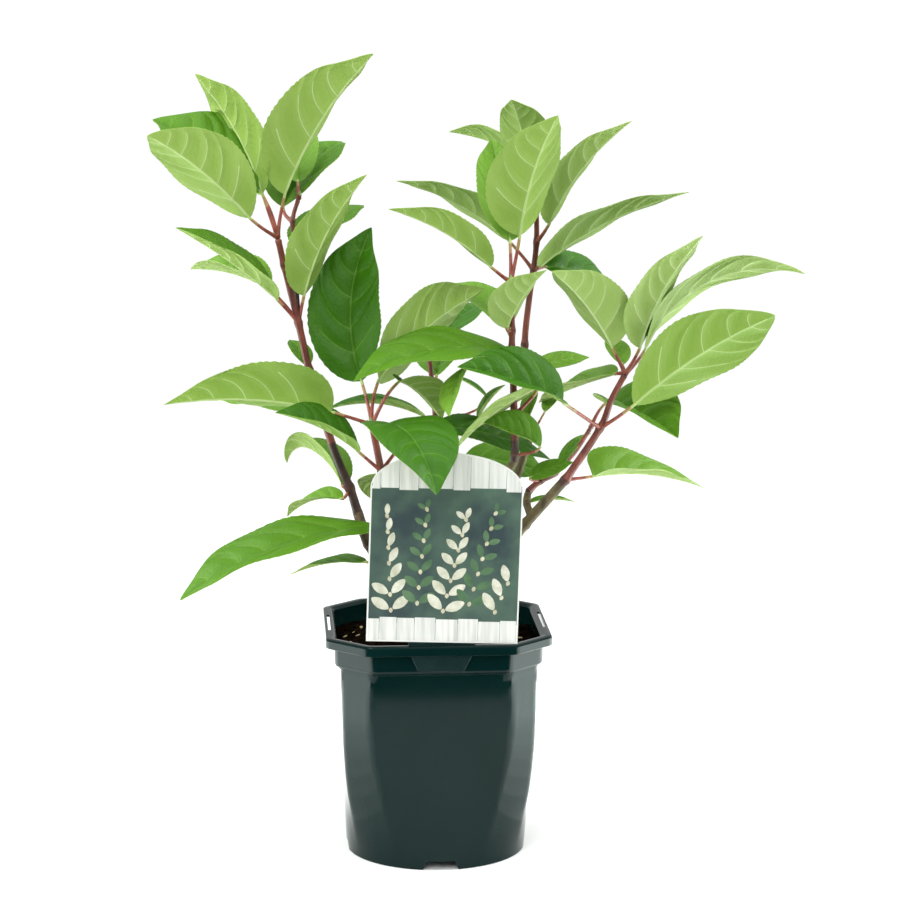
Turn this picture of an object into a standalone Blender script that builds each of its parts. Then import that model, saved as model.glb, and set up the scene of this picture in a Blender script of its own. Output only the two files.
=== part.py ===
# Potted hydrangea shrub: pot, potting soil, plant label, trunk, boughs and leafy shoots.
# Metres, +Z up. The origin is the centre of the pot's underside, and the label faces -Y.
# Places along stems and lengths of leaves are written in millimetres, angles in degrees.
# An azimuth turns from +X towards +Y, and a rise is the angle above the horizontal.

from math import atan2, cos, pi, radians, sin, sqrt
import random

import bmesh
import bpy
from mathutils import Matrix, Vector
from mathutils.bvhtree import BVHTree
import numpy as np

MM = 0.001
CLEAR = 0.3                     # gap between neighbours that touch

# Pot: an octagonal rim that blends down to a round base
RIM_HALF = 75.0                 # half the width across the rim's flats
RIM_CUT = 26.2                  # how much each rim corner is cut back along its sides
POT_HEIGHT = 156.1
RIM_DROP = 6.6                  # height of the rim's outer band
LEDGE = 5.5                     # width of the flat ledge on top
BAND_HALF = 69.0                # half width of the upright band below the rim
BAND_FOOT = 137.0               # height at which the band ends in a shoulder
# Body sections: height, half width across the flats, corner cut, roundness, radius where round
BODY = [(20.5, 62.0, 24.8, 1.0, 62.0), (30.0, 62.6, 25.0, 0.75, 63.2), (42.0, 63.0, 24.6, 0.4, 65.0),
        (62.0, 63.5, 21.3, 0.08, 68.0),
        (98.0, 64.4, 17.4, 0.0, 70.0), (134.0, 65.4, 19.8, 0.0, 70.0)]
FOOT_STEP = 18.0                # height of the small step near the base
FOOT_RADIUS = 60.6
WALL = 1.4
DISC_RADIUS = 44.0              # flat disc that the pot stands on, inside the foot ring
FLOOR_RISE = 6.5                # how far the floor lies above the ground outside that disc
SLOT = (45.0, 1.7)              # label slots in the ledge: length and width
NOTCH = (24.0, 29.0, 6.0)       # drain notches in the foot: width at top, at bottom, height
FLAT_STEPS = 4                  # facets along a flat side and round a cut corner
CORNER_STEPS = 3

# Potting soil
SOIL_TOP = 145.0
SOIL_HUMP = 1.2                 # the soil lies a little lower at the wall

# Plant label: a board with an arched top and a tongue that goes down through the slot
LABEL_Y = -72.0
LABEL_THICK = 0.9
LABEL_FOOT = 158.2              # just above the ledge
LABEL_SIZE = (99.0, 102.0)      # width and height of the straight sides
LABEL_ARCH = 23.5
ARCH_STEPS = 9
LABEL_LEAN = 2.0                # degrees, towards +X
TONGUE = (43.0, 30.0, 19.5)     # width at top, at bottom, length

# Trunk: a short flared foot with a knuckle that the boughs leave
TRUNK_FOOT = SOIL_TOP + CLEAR
TRUNK_LEAN = (1.5, -1.0)        # how far the knuckle stands to the side of the foot
TRUNK_RADII = [(0, 10.8), (2.5, 9.2), (7, 7.6), (12, 7.4), (17, 9.2), (22, 10.5), (26.5, 9.5), (29.5, 7.4),
               (31.7, 4.0)]
KNUCKLE_RISE = 22.0             # height of the knuckle's middle above the trunk's foot
KNUCKLE_RADIUS = 10.6

TUBE_SIDES = 6
LEAF_THICK = 0.0125             # of the leaf's length
STALK_RADIUS = 1.15
RIB_STATIONS = (0.0, 0.06, 0.17, 0.32, 0.48, 0.64, 0.8, 0.93)
STALK_STATIONS = (0.0, 0.35, 0.72)
SEED = 11
JOIN_SOLVER = "MANIFOLD"        # joins the crossing leaves of a mass cleanly and fast

# Boughs: (parent, distance along the parent or None for the trunk, points, radii at foot and tip).
# Points run from near the parent to the bough's tip.
BOUGHS = {
    "left_stem": ("trunk", None, [(-28, -10, 185), (-45, -18, 213), (-53, -20, 236)], (4.4, 3.4)),
    "right_stem": ("trunk", None, [(33, -5.5, 191), (60, -10, 224), (84, -14, 252)], (4.2, 3.2)),
    "front_left_stem": ("trunk", None, [(-4, -22, 184), (-18, -37, 208), (-30, -45, 235)], (3.2, 2.7)),
    "middle_front_stem": ("trunk", None, [(6, -8, 200), (31, -18, 236), (52, -22, 270)], (3.4, 2.7)),
    "back_stem": ("trunk", None, [(3, 24, 190), (2, 40, 224), (4, 50, 258)], (3.4, 2.6)),
    "low_left_stem": ("left_stem", 0.3, [(-32, -22, 192), (-34, -29, 203)], (2.4, 2.2)),
    "right_short_stem": ("right_stem", 0.72, [(62, 2, 236), (63.2, 6.8, 241.6)], (2.6, 2.4)),
    "middle_back_stem": ("right_stem", 0.4, [(38, 6, 212), (54, 14, 246), (63.3, 17.5, 272)], (3.0, 2.6)),
}


def leaf(knot, azimuth, rise, length, stalk=22, stalk_to=None, width=0.5, fold=18, roll=0,
         droop=30, sweep=0, curl=0, peak=0.42):
    """A leaf on a shoot. It leaves the shoot at the numbered knot, on a stalk that points to
    stalk_to (azimuth, rise), and its blade's chord points to azimuth and rise. Width is a part
    of the length and is greatest at peak. Fold lifts both halves, roll turns the blade about
    its rib, droop and sweep bend it down and sideways, and curl rolls its tip under."""
    stalk_to = stalk_to or (azimuth, rise + 15)
    return dict(knot=knot, azimuth=azimuth, rise=rise, length=length, stalk=stalk,
                stalk_to=stalk_to, width=width, fold=fold, roll=roll, droop=droop, sweep=sweep,
                curl=curl, peak=peak)


# Shoots: the mass of leaves on each bough. Knots are points along the shoot's stem. "behind"
# gives the knots that bear a further pair of leaves on the far side, by the seeded rule.
SHOOTS = {
    "left_leaf_mass": dict(bough="left_stem", radii=(3.0, 2.0), stem=[
        (-54, -20, 239.5), (-58, -20, 252), (-68, -20, 277), (-76, -21, 304), (-84, -22, 331),
        (-91, -24, 363), (-100, -25, 401), (-104, -26, 419)], leaves=[
        leaf(1, 132, 21, 66, stalk=7, stalk_to=(131, 3), droop=60, fold=33, roll=-18, curl=120),
        leaf(1, 140, -20, 52, stalk=9, stalk_to=(-160, -55), droop=50, roll=10),
        leaf(3, 135, 0, 88, stalk=16, stalk_to=(113, -13), droop=20, fold=8, roll=9),
        leaf(4, 112, 24, 34, stalk=4, width=0.44),
        leaf(5, -154, 35, 87, stalk_to=(-159, 47), width=0.42, fold=31, roll=20, droop=15),
        leaf(5, -50, 53, 104, stalk=18, stalk_to=(27, 76), width=0.48, fold=20, roll=-9),
        leaf(5, 138, 7, 72, stalk=30, stalk_to=(150, 44), fold=38, roll=8),
        leaf(7, -32, 54, 115, stalk=28, stalk_to=(23, 79), width=0.54, fold=34, roll=14),
        leaf(7, -148, 37, 94, stalk=24, stalk_to=(-154, 34), width=0.6, fold=20, roll=-32,
             peak=0.5),
        leaf(7, 144, 55, 94, stalk=30, stalk_to=(167, 71), fold=11, roll=-68),
        leaf(7, 154, 30, 92, stalk=31, stalk_to=(168, 70), width=0.7, fold=18, roll=21)],
        twig=dict(leaves_at=5, radii=(1.8, 1.3), stem=[
            (-92, -14, 386), (-92, -14, 405), (-94, -12, 428), (-90, -10, 443)], leaves=[
            leaf(2, 59, 27, 87, stalk=18, stalk_to=(113, 28), width=0.62, fold=22),
            leaf(3, 92, 30, 76, stalk=14, width=0.42)]),
        behind=(3, 6)),
    "front_left_leaf_mass": dict(bough="front_left_stem", radii=(2.6, 2.2), stem=[
        (-30.6, -45.8, 237.6), (-38, -50, 268), (-44, -50, 299)], leaves=[
        leaf(2, 58, 82, 104, stalk=35, stalk_to=(104, 46), width=0.54, fold=16, roll=-2,
             droop=15, sweep=45),
        leaf(2, 28, 34, 100, stalk=37, stalk_to=(78, 44), width=0.68, fold=12, roll=54),
        leaf(2, 58, -30, 68, stalk=34, stalk_to=(29, 52), fold=31, roll=2),
        leaf(2, -167, 5, 112, stalk=28, stalk_to=(-171, 19), fold=32, roll=-43, peak=0.3),
        leaf(2, -67, -23, 92, stalk=12, stalk_to=(-56, 6), width=0.64, fold=10, droop=80),
        leaf(1, -161, 27, 64, stalk=22, stalk_to=(-159, 41), width=0.56, fold=30, roll=22),
        leaf(1, 84, -32, 66, stalk=10, roll=20),
        leaf(1, 16, -19, 86, stalk=57, stalk_to=(41, 26), width=0.38, fold=3, roll=-27)],
        behind=()),
    "middle_front_leaf_mass": dict(bough="middle_front_stem", radii=(2.6, 1.8), stem=[
        (52, -22, 273), (51, -24, 300), (50, -26, 329), (49, -28, 345), (49, -28.5, 357),
        (48, -30, 389)], leaves=[
        leaf(2, -164, -5, 120, stalk=12, stalk_to=(-55, 59), width=0.46, fold=8, roll=14,
             droop=60),
        leaf(1, -151, -30, 80, stalk=25, stalk_to=(-20, 50), width=0.4, fold=5, roll=-38),
        leaf(2, -107, -26, 60, stalk=34, stalk_to=(-157, 12), width=0.4, fold=10, roll=-40),
        leaf(3, 122, 18, 76, stalk=46, stalk_to=(90, 10), width=0.44, fold=22, roll=3),
        leaf(5, -67, 58, 96, stalk=31, stalk_to=(21, 78), width=0.6, fold=23, roll=-7),
        leaf(5, -159, 29, 84, stalk=17, stalk_to=(-171, 38), width=0.42, fold=23, roll=-18),
        leaf(5, 101, 54, 80, stalk=28, stalk_to=(89, 70)),
        leaf(4, -52, 48, 56, stalk=6, stalk_to=(-130, 20), width=0.78, fold=23, roll=-6),
        leaf(0, -168, 25, 44, stalk=19, stalk_to=(-26, 20), width=0.7, fold=33, roll=37),
        leaf(1, 0, 52, 30, stalk=33, stalk_to=(133, -11), width=0.7)],
        behind=(1,)),
    "middle_back_leaf_mass": dict(bough="middle_back_stem", radii=(2.6, 1.6), stem=[
        (63.8, 17.8, 275), (63, 20, 304), (62, 22, 341), (65, 24, 371), (68, 25, 391),
        (70, 26, 410), (70, 26, 429), (70, 26, 445)], leaves=[
        leaf(5, -50, 44, 104, stalk=18, stalk_to=(-53, 46), width=0.38, fold=20, roll=-5),
        leaf(4, -6, 27, 114, stalk=4, stalk_to=(-20, 30), width=0.42, fold=8, roll=22, peak=0.3),
        leaf(4, -156, 27, 96, stalk=26, stalk_to=(170, 50), width=0.46, fold=11, roll=-10),
        leaf(4, 38, -26, 90, stalk=9, stalk_to=(31, 12), fold=8, roll=-34, droop=60),
        leaf(7, -114, 54, 62, stalk=14, stalk_to=(-148, 62), width=0.6),
        leaf(7, 156, 18, 58, stalk=23, stalk_to=(125, 58), width=0.6, roll=-20),
        leaf(1, -123, -50, 26, stalk=15, stalk_to=(-65, 27), fold=34),
        leaf(2, 18, 7, 42, stalk=19, stalk_to=(41, -61), width=0.4, fold=4, roll=-30),
        leaf(0, 40, 35, 21, stalk=26, stalk_to=(43, 47), width=0.6)],
        behind=(7,)),
    "right_leaf_mass": dict(bough="right_stem", radii=(2.8, 1.9), stem=[
        (86.5, -14.2, 254.5), (109, -18, 290), (116, -20, 309), (125, -22, 327)], leaves=[
        leaf(1, -156, 20, 84, stalk=47, stalk_to=(-133, 28), width=0.56, fold=29, roll=37,
             peak=0.38),
        leaf(1, -27, 34, 116, stalk=32, stalk_to=(-40, 34), fold=11, roll=47, peak=0.5),
        leaf(3, -137, 42, 83, stalk=20, stalk_to=(180, 63), width=0.62, fold=32, roll=-11),
        leaf(3, -51, 55, 96, stalk=20, stalk_to=(-21, 61), width=0.46, fold=19, roll=-4),
        leaf(3, 2, 25, 131, stalk=22, stalk_to=(32, 41), width=0.42, fold=6, roll=26, droop=90),
        leaf(3, 131, -21, 76, stalk=8, fold=16, roll=13, droop=10),
        leaf(0, 25, -10, 92, stalk=20, stalk_to=(18, 3), fold=30, roll=-13, peak=0.2),
        leaf(3, 100, 24, 34, stalk=8)],
        behind=(3,)),
    "right_short_leaf_mass": dict(bough="right_short_stem", radii=(2.2, 1.4), stem=[
        (63.5, 8, 243.2), (72, 9, 250), (82, 10, 255), (97, 25, 267), (109, 38, 281)], leaves=[
        leaf(1, 8, 18, 32, stalk=13, stalk_to=(-132, 16), fold=5, roll=-30),
        leaf(2, 55, 20, 48, stalk=7, width=0.22),
        leaf(4, -61, -9, 84, stalk=20, stalk_to=(8, 58), width=0.66, fold=32, roll=-10),
        leaf(1, 12, -1, 34, stalk=22, stalk_to=(126, -53), width=0.4)],
        behind=()),
    "low_left_leaf_mass": dict(bough="low_left_stem", radii=(2.2, 1.8), stem=[
        (-34, -30.5, 206), (-33, -35, 216), (-32, -40, 226)], leaves=[
        leaf(2, -175, -19, 142, stalk=8, stalk_to=(-172, 26), width=0.42, fold=8, roll=9,
             droop=40, peak=0.5),
        leaf(0, 154, -13, 58, stalk=16, stalk_to=(-150, -3), fold=7, roll=1)],
        behind=()),
    "back_leaf_mass": dict(bough="back_stem", radii=(2.5, 1.6), stem=[
        (4, 50.5, 260.5), (4, 56, 284), (2, 60, 306), (0, 63, 326)], leaves=[
        leaf(1, -171, 6, 72, stalk=19, stalk_to=(-117, 16), width=0.36, droop=50),
        leaf(1, 165, 30, 30, stalk=39, stalk_to=(6, 23), width=0.35),
        leaf(0, -6, -11, 58, stalk=20, stalk_to=(-20, 1), width=0.7, fold=3, roll=-27)],
        behind=(1, 2, 3)),
}
# The seeded rule for the leaves behind: a spread of azimuths round "straight back"
BEHIND = dict(azimuth=90, spread=(10, 34), rise=(-10, 16), length=(68, 96), width=(0.46, 0.54))

COLOURS = {                     # base colour, roughness
    "pot_plastic": ((0.030, 0.052, 0.052), 0.38),
    "soil": ((0.035, 0.024, 0.016), 0.95),
    "label_board": ((0.80, 0.80, 0.78), 0.45),
    "old_wood": ((0.16, 0.105, 0.055), 0.8),
    "leaf": ((0.10, 0.26, 0.035), 0.45),
}


# ---- small helpers

def vec(point):
    return Vector(point) * MM


def direction(azimuth, rise):
    a, r = radians(azimuth), radians(rise)
    return Vector((cos(a) * cos(r), sin(a) * cos(r), sin(r)))


def material(name):
    made = bpy.data.materials.get(name)
    if made is None:
        colour, roughness = COLOURS[name]
        made = bpy.data.materials.new(name)
        made.use_nodes = True
        shader = made.node_tree.nodes["Principled BSDF"]
        shader.inputs["Base Color"].default_value = (*colour, 1)
        shader.inputs["Roughness"].default_value = roughness
        shader.inputs["Metallic"].default_value = 0
    return made


def collection(name):
    made = bpy.data.collections.new(name)
    bpy.context.scene.collection.children.link(made)
    return made


def add_object(name, mesh, into, slot=None):
    piece = bpy.data.objects.new(name, mesh)
    into.objects.link(piece)
    if slot:
        mesh.materials.clear()
        mesh.materials.append(material(slot))
    return piece


def loft(rings):
    """A closed skin through rings of points. A ring of one point closes an end."""
    shape = bmesh.new()
    rows = [[shape.verts.new(p) for p in ring] for ring in rings]
    for low, high in zip(rows, rows[1:]):
        count = max(len(low), len(high))
        for i in range(count):
            j = (i + 1) % count
            if len(low) == 1:
                shape.faces.new((low[0], high[j], high[i]))
            elif len(high) == 1:
                shape.faces.new((low[i], low[j], high[0]))
            else:
                shape.faces.new((low[i], low[j], high[j], high[i]))
    for row, flip in ((rows[0], True), (rows[-1], False)):
        if len(row) > 2:
            shape.faces.new(reversed(row) if flip else row)
    bmesh.ops.recalc_face_normals(shape, faces=shape.faces)
    mesh = bpy.data.meshes.new("loft")
    shape.to_mesh(mesh)
    shape.free()
    return mesh


def boolean(piece, operation, other=None, group=None, solver="EXACT"):
    """Applies one Boolean with an object or with all objects of a collection."""
    modifier = piece.modifiers.new("join", "BOOLEAN")
    modifier.operation = operation
    modifier.solver = solver
    if group:
        modifier.operand_type = "COLLECTION"
        modifier.collection = group
    else:
        modifier.object = other
    bpy.context.view_layer.update()
    evaluated = piece.evaluated_get(bpy.context.evaluated_depsgraph_get())
    mesh = bpy.data.meshes.new_from_object(evaluated)
    piece.modifiers.clear()
    piece.data = mesh


def along(knots, steps):
    """A smooth curve through the knots, as points, with each knot's place in the list."""
    points = [Vector(k) for k in knots]
    ends = [points[0] * 2 - points[1], *points, points[-1] * 2 - points[-2]]
    curve = []
    for i in range(len(points) - 1):
        a, b, c, d = ends[i:i + 4]
        for j in range(steps):
            t = j / steps
            curve.append(0.5 * (2 * b + (c - a) * t + (2 * a - 5 * b + 4 * c - d) * t * t
                                + (3 * b - a - 3 * c + d) * t ** 3))
    curve.append(points[-1])
    return curve


def tube(points, radii, sides=TUBE_SIDES, rounded=False, foot_normal=None):
    """A tapering limb with flat ends. Its foot lies square to foot_normal, and a rounded tip
    is drawn in to a small flat."""
    rings = []
    last = len(points) - 1
    side = None
    for i, point in enumerate(points):
        heading = (points[min(i + 1, last)] - points[max(i - 1, 0)]).normalized()
        if i == 0 and foot_normal:
            heading = foot_normal
        if side is None:
            side = heading.orthogonal().normalized()
        side = (side - heading * side.dot(heading)).normalized()
        up = heading.cross(side)
        radius = radii[0] + (radii[1] - radii[0]) * i / last
        turns = [2 * pi * k / sides for k in range(sides)]
        rings.append([point + (side * cos(t) + up * sin(t)) * radius for t in turns])
        if rounded and i == last:
            beyond = point + heading * radius * 0.8
            rings.append([beyond + (side * cos(t) + up * sin(t)) * radius * 0.45 for t in turns])
    return loft(rings)


# ---- pot, soil and label

def octagon(half, cut, blend=0.0, radius=FOOT_RADIUS):
    """A square with cut corners, blended towards a circle: 0 is the octagon, 1 the circle."""
    edge = half - cut
    corners = []
    for quarter in range(4):
        turn = quarter * pi / 2
        for x, y in ((half, -edge), (half, edge)):
            corners.append((x * cos(turn) - y * sin(turn), x * sin(turn) + y * cos(turn)))
    points = []
    for i, start in enumerate(corners):
        end = corners[(i + 1) % 8]
        steps = FLAT_STEPS if i % 2 == 0 else CORNER_STEPS
        for j in range(steps):
            x = start[0] + (end[0] - start[0]) * j / steps
            y = start[1] + (end[1] - start[1]) * j / steps
            reach = sqrt(x * x + y * y)
            scale = (1 - blend) + blend * radius / reach
            points.append((x * scale, y * scale))
    return points


def ring(height, half, cut, blend=0.0, radius=FOOT_RADIUS):
    return [vec((x, y, height)) for x, y in octagon(half, cut, blend, radius)]


def round_ring(height, radius):
    return ring(height, radius, radius * 0.4, 1.0, radius)


def body_rings(inset):
    """The tapering body between its foot and the band, drawn in by inset."""
    return [ring(height, half - inset, cut, blend, radius - inset)
            for height, half, cut, blend, radius in BODY]


def box_cutter(name, size, at, turn, into, top=1.0):
    """A box whose upper end is narrower along X by the factor top."""
    bpy.ops.mesh.primitive_cube_add(size=1, location=(0, 0, 0))
    cutter = bpy.context.object
    cutter.name = name
    for corner in cutter.data.vertices:
        narrow = top if corner.co.z > 0 else 1.0
        corner.co = Vector((corner.co.x * size[0] * narrow, corner.co.y * size[1],
                            corner.co.z * size[2])) * MM
        corner.co += vec(at)
        corner.co.rotate(turn)
    for old in cutter.users_collection:
        old.objects.unlink(cutter)
    into.objects.link(cutter)
    cutter.hide_render = True
    cutter.display_type = "WIRE"
    return cutter


def make_pot(parts, cutters):
    rim_in = RIM_HALF - LEDGE
    cut_in = RIM_CUT - LEDGE * 0.55
    channel_top = POT_HEIGHT - WALL
    band_cut = RIM_CUT - 3.4
    rings = [
        [vec((0, 0, 0))],
        round_ring(0, DISC_RADIUS),
        round_ring(FLOOR_RISE, DISC_RADIUS + 3),
        round_ring(FLOOR_RISE, FOOT_RADIUS - WALL),
        round_ring(0, FOOT_RADIUS - WALL),
        round_ring(0, FOOT_RADIUS),
        round_ring(FOOT_STEP, FOOT_RADIUS + 0.7)]
    rings += body_rings(0.0)
    rings += [
        ring(BAND_FOOT, BAND_HALF, band_cut),
        ring(channel_top, BAND_HALF, band_cut),
        ring(channel_top, RIM_HALF - WALL, RIM_CUT - 0.6),
        ring(POT_HEIGHT - RIM_DROP, RIM_HALF - WALL, RIM_CUT - 0.6),
        ring(POT_HEIGHT - RIM_DROP, RIM_HALF, RIM_CUT),
        ring(POT_HEIGHT - 0.7, RIM_HALF, RIM_CUT),
        ring(POT_HEIGHT, RIM_HALF - 0.7, RIM_CUT - 0.3),
        ring(POT_HEIGHT, rim_in, cut_in),
        ring(POT_HEIGHT - 1.4, BAND_HALF - WALL, band_cut - 0.6),
        ring(BAND_FOOT + 0.6, BAND_HALF - WALL, band_cut - 0.6)]
    rings += reversed(body_rings(WALL))
    rings += [
        round_ring(FLOOR_RISE + WALL, FOOT_RADIUS - WALL - 0.5),
        round_ring(FLOOR_RISE + WALL, DISC_RADIUS + 2.4),
        round_ring(WALL, DISC_RADIUS - 0.6),
        [vec((0, 0, WALL))]]
    pot = add_object("pot", loft(rings), parts, "pot_plastic")
    slot_y = -LABEL_Y
    notch_size = (NOTCH[1], 6.0, NOTCH[2] * 2)
    for side in range(4):
        turn = quarter_turn(side)
        slot = box_cutter(f"slot_cutter_{side}", (SLOT[0], SLOT[1], 4.0),
                          (0, -slot_y, POT_HEIGHT - 0.5), turn, cutters)
        notch = box_cutter(f"notch_cutter_{side}", notch_size, (0, -FOOT_RADIUS - 0.2, 0),
                           turn, cutters, NOTCH[0] * 2 / NOTCH[1] - 1)
        boolean(pot, "DIFFERENCE", slot)
        boolean(pot, "DIFFERENCE", notch)
    return pot


def quarter_turn(count):
    return Matrix.Rotation(count * pi / 2, 3, "Z")


def make_soil(parts):
    wall = WALL + CLEAR
    rings = [
        [vec((0, 0, wall))],
        round_ring(wall, DISC_RADIUS - 1.0),
        round_ring(FLOOR_RISE + wall, DISC_RADIUS + 2.0),
        round_ring(FLOOR_RISE + wall, FOOT_RADIUS - wall - 0.6)]
    rings += body_rings(wall + 1.3)
    rings += [
        ring(BAND_FOOT + 1.2, BAND_HALF - wall - 0.4, RIM_CUT - 4.5),
        ring(SOIL_TOP - SOIL_HUMP * 2, BAND_HALF - wall - 0.4, RIM_CUT - 4.5),
        ring(SOIL_TOP - SOIL_HUMP, 52, 20),
        ring(SOIL_TOP, 24, 9, 1.0, 24),
        [vec((0, 0, SOIL_TOP))]]
    return add_object("potting_soil", loft(rings), parts, "soil")


def make_label(parts):
    half, height = LABEL_SIZE[0] / 2, LABEL_SIZE[1]
    top, bottom, tongue = TONGUE[0] / 2, TONGUE[1] / 2, TONGUE[2]
    right = [(bottom, -tongue), (top, -6.0), (top, 0.0), (half, 0.0)]
    arch = [(half * cos(a), height + LABEL_ARCH * sin(a)) for a in
            (pi * k / (2 * ARCH_STEPS) for k in range(ARCH_STEPS))]
    outline = right + arch + [(0, height + LABEL_ARCH)]
    outline += [(-x, z) for x, z in reversed(right + arch)]
    lean = radians(LABEL_LEAN)
    faces = []
    for y in (LABEL_Y - LABEL_THICK / 2, LABEL_Y + LABEL_THICK / 2):
        faces.append([vec((x * cos(lean) + z * sin(lean), y,
                           LABEL_FOOT + z * cos(lean) - x * sin(lean))) for x, z in outline])
    return add_object("plant_label", loft(faces), parts, "label_board")


# ---- trunk and boughs

def make_trunk(parts):
    rings = []
    total = TRUNK_RADII[-1][0]
    for height, radius in TRUNK_RADII:
        share = height / total
        x, y = TRUNK_LEAN[0] * share, TRUNK_LEAN[1] * share
        flare = 1 - min(1.0, height / 10)
        points = []
        for k in range(16):
            turn = 2 * pi * k / 16
            reach = radius * (1 + 0.12 * flare * cos(4 * turn + 0.6))
            points.append(vec((x + reach * cos(turn), y + reach * sin(turn), TRUNK_FOOT + height)))
        rings.append(points)
    return add_object("trunk", loft(rings), parts, "old_wood")


def bough_path(name, made):
    """The bough's points in metres, from its clear foot to its tip, and its foot's normal."""
    parent, share, knots, _ = BOUGHS[name]
    first = vec(knots[0])
    if parent == "trunk":
        middle = vec((TRUNK_LEAN[0] * 0.7, TRUNK_LEAN[1] * 0.7, TRUNK_FOOT + KNUCKLE_RISE))
        heading = (first - middle).normalized()
        foot = middle + heading * (KNUCKLE_RADIUS + CLEAR) * MM
        normal = heading
    else:
        points, parent_radii = made[parent]
        place = share * (len(points) - 1)
        i = int(place)
        origin = points[i].lerp(points[i + 1], place - i)
        tangent = (points[i + 1] - points[i]).normalized()
        heading = (first - origin).normalized()
        lean = heading.angle(tangent)
        thick = (parent_radii[0] + (parent_radii[1] - parent_radii[0]) * share) * MM
        foot = origin + heading * (thick + CLEAR * MM) / sin(lean)
        normal = (heading - tangent * cos(lean)).normalized()
    return along([foot, *(vec(k) for k in knots)], 3), normal


def make_boughs(parts):
    made = {}
    for name, (*_, radii) in BOUGHS.items():
        points, normal = bough_path(name, made)
        made[name] = (points, radii)
        mesh = tube(points, [r * MM for r in radii], 8, foot_normal=normal)
        add_object(name, mesh, parts, "old_wood")
    return made


# ---- leaves and shoots

def profile(t, peak):
    """Half the leaf's outline along its rib: 0 at both ends and 1 at peak."""
    t = max(0.0, min(1.0, t))
    return (t / peak) ** (peak * 1.5) * ((1 - t) / (1 - peak)) ** ((1 - peak) * 1.5)


def rib(base, shape, stations, fine=40):
    """Points, headings and side directions along the leaf's middle rib."""
    heading = direction(shape["azimuth"], shape["rise"])
    up = direction(shape["azimuth"], shape["rise"] + 90)
    side = up.cross(heading)
    roll = radians(shape["roll"])
    up, side = up * cos(roll) + side * sin(roll), side * cos(roll) - up * sin(roll)

    def head(t):
        bend = radians(shape["droop"]) * (0.5 - t)
        bend -= radians(shape["curl"]) * 3 * max(0.0, t - 0.6) ** 1.5
        turn = radians(shape["sweep"]) * (0.5 - t)
        return (heading * cos(bend) + up * sin(bend)) * cos(turn) + side * sin(turn)

    points = [base]
    for i in range(fine):
        step = head((i + 0.5) / fine) * (shape["length"] * MM / fine)
        points.append(points[-1] + step)
    rows = []
    for t in stations:
        place = min(t * fine, fine - 1e-6)
        i = int(place)
        at = points[i].lerp(points[i + 1], place - i)
        along_rib = head(t)
        across = (side - along_rib * side.dot(along_rib)).normalized()
        rows.append((at, along_rib, across))
    return rows


def stalk_curve(node, shape, share):
    """A point on the leaf stalk, which bends from stalk_to towards the blade."""
    lead = direction(*shape["stalk_to"])
    base = node + lead * shape["stalk"] * MM
    blade = rib(base, shape, (0.0,))[0][1]
    pull = blade - lead
    return node + lead * shape["stalk"] * MM * share - pull * shape["stalk"] * MM * 0.12 * sin(pi * share)


def leaf_mesh(node, shape):
    """Stalk and blade as one closed skin of four-cornered rings: left, top, right, bottom."""
    lead = direction(*shape["stalk_to"])
    base = node + lead * shape["stalk"] * MM
    rows = rib(base, shape, RIB_STATIONS)
    first_heading, first_side = rows[0][1], rows[0][2]
    rings = []
    thick = max(1.0, shape["length"] * LEAF_THICK) * MM
    stalk_radius = STALK_RADIUS * MM
    for share in STALK_STATIONS:
        point = stalk_curve(node, shape, share)
        heading = lead.lerp(first_heading, share * 0.5).normalized()
        side = first_side - heading * first_side.dot(heading)
        if side.length < 0.3:
            side = first_heading.cross(heading)
        side.normalize()
        up = heading.cross(side)
        rings.append([point - side * stalk_radius, point + up * stalk_radius,
                      point + side * stalk_radius, point - up * stalk_radius])
    fold = radians(shape["fold"])
    for t, (point, heading, side) in zip(RIB_STATIONS, rows):
        up = heading.cross(side)
        wide = shape["length"] * shape["width"] / 2 * profile(t, shape["peak"]) * MM
        wide = max(wide, stalk_radius)
        out, lift = wide * cos(fold), wide * sin(fold)
        half_thick = thick / 2 * (1 - 0.45 * t)
        rings.append([point - side * out + up * lift, point + up * half_thick,
                      point + side * out + up * lift, point - up * half_thick])
    tip = rib(base, shape, (1.0,))[0][0]
    rings.append([tip])
    return loft(rings)


def behind_leaves(shoot, rng):
    """A pair of leaves at each named knot, spread to both sides of straight back."""
    made = []
    for knot in shoot["behind"]:
        for side in (-1, 1):
            azimuth = BEHIND["azimuth"] + side * rng.uniform(*BEHIND["spread"])
            made.append(leaf(knot, azimuth, rng.uniform(*BEHIND["rise"]),
                             rng.uniform(*BEHIND["length"]), stalk=rng.uniform(14, 22),
                             width=rng.uniform(*BEHIND["width"]), fold=rng.uniform(12, 24),
                             roll=rng.uniform(-10, 10), droop=rng.uniform(25, 50)))
    return made


def tree_of(mesh):
    return BVHTree.FromPolygons([v.co for v in mesh.vertices],
                                [tuple(p.vertices) for p in mesh.polygons])


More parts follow.
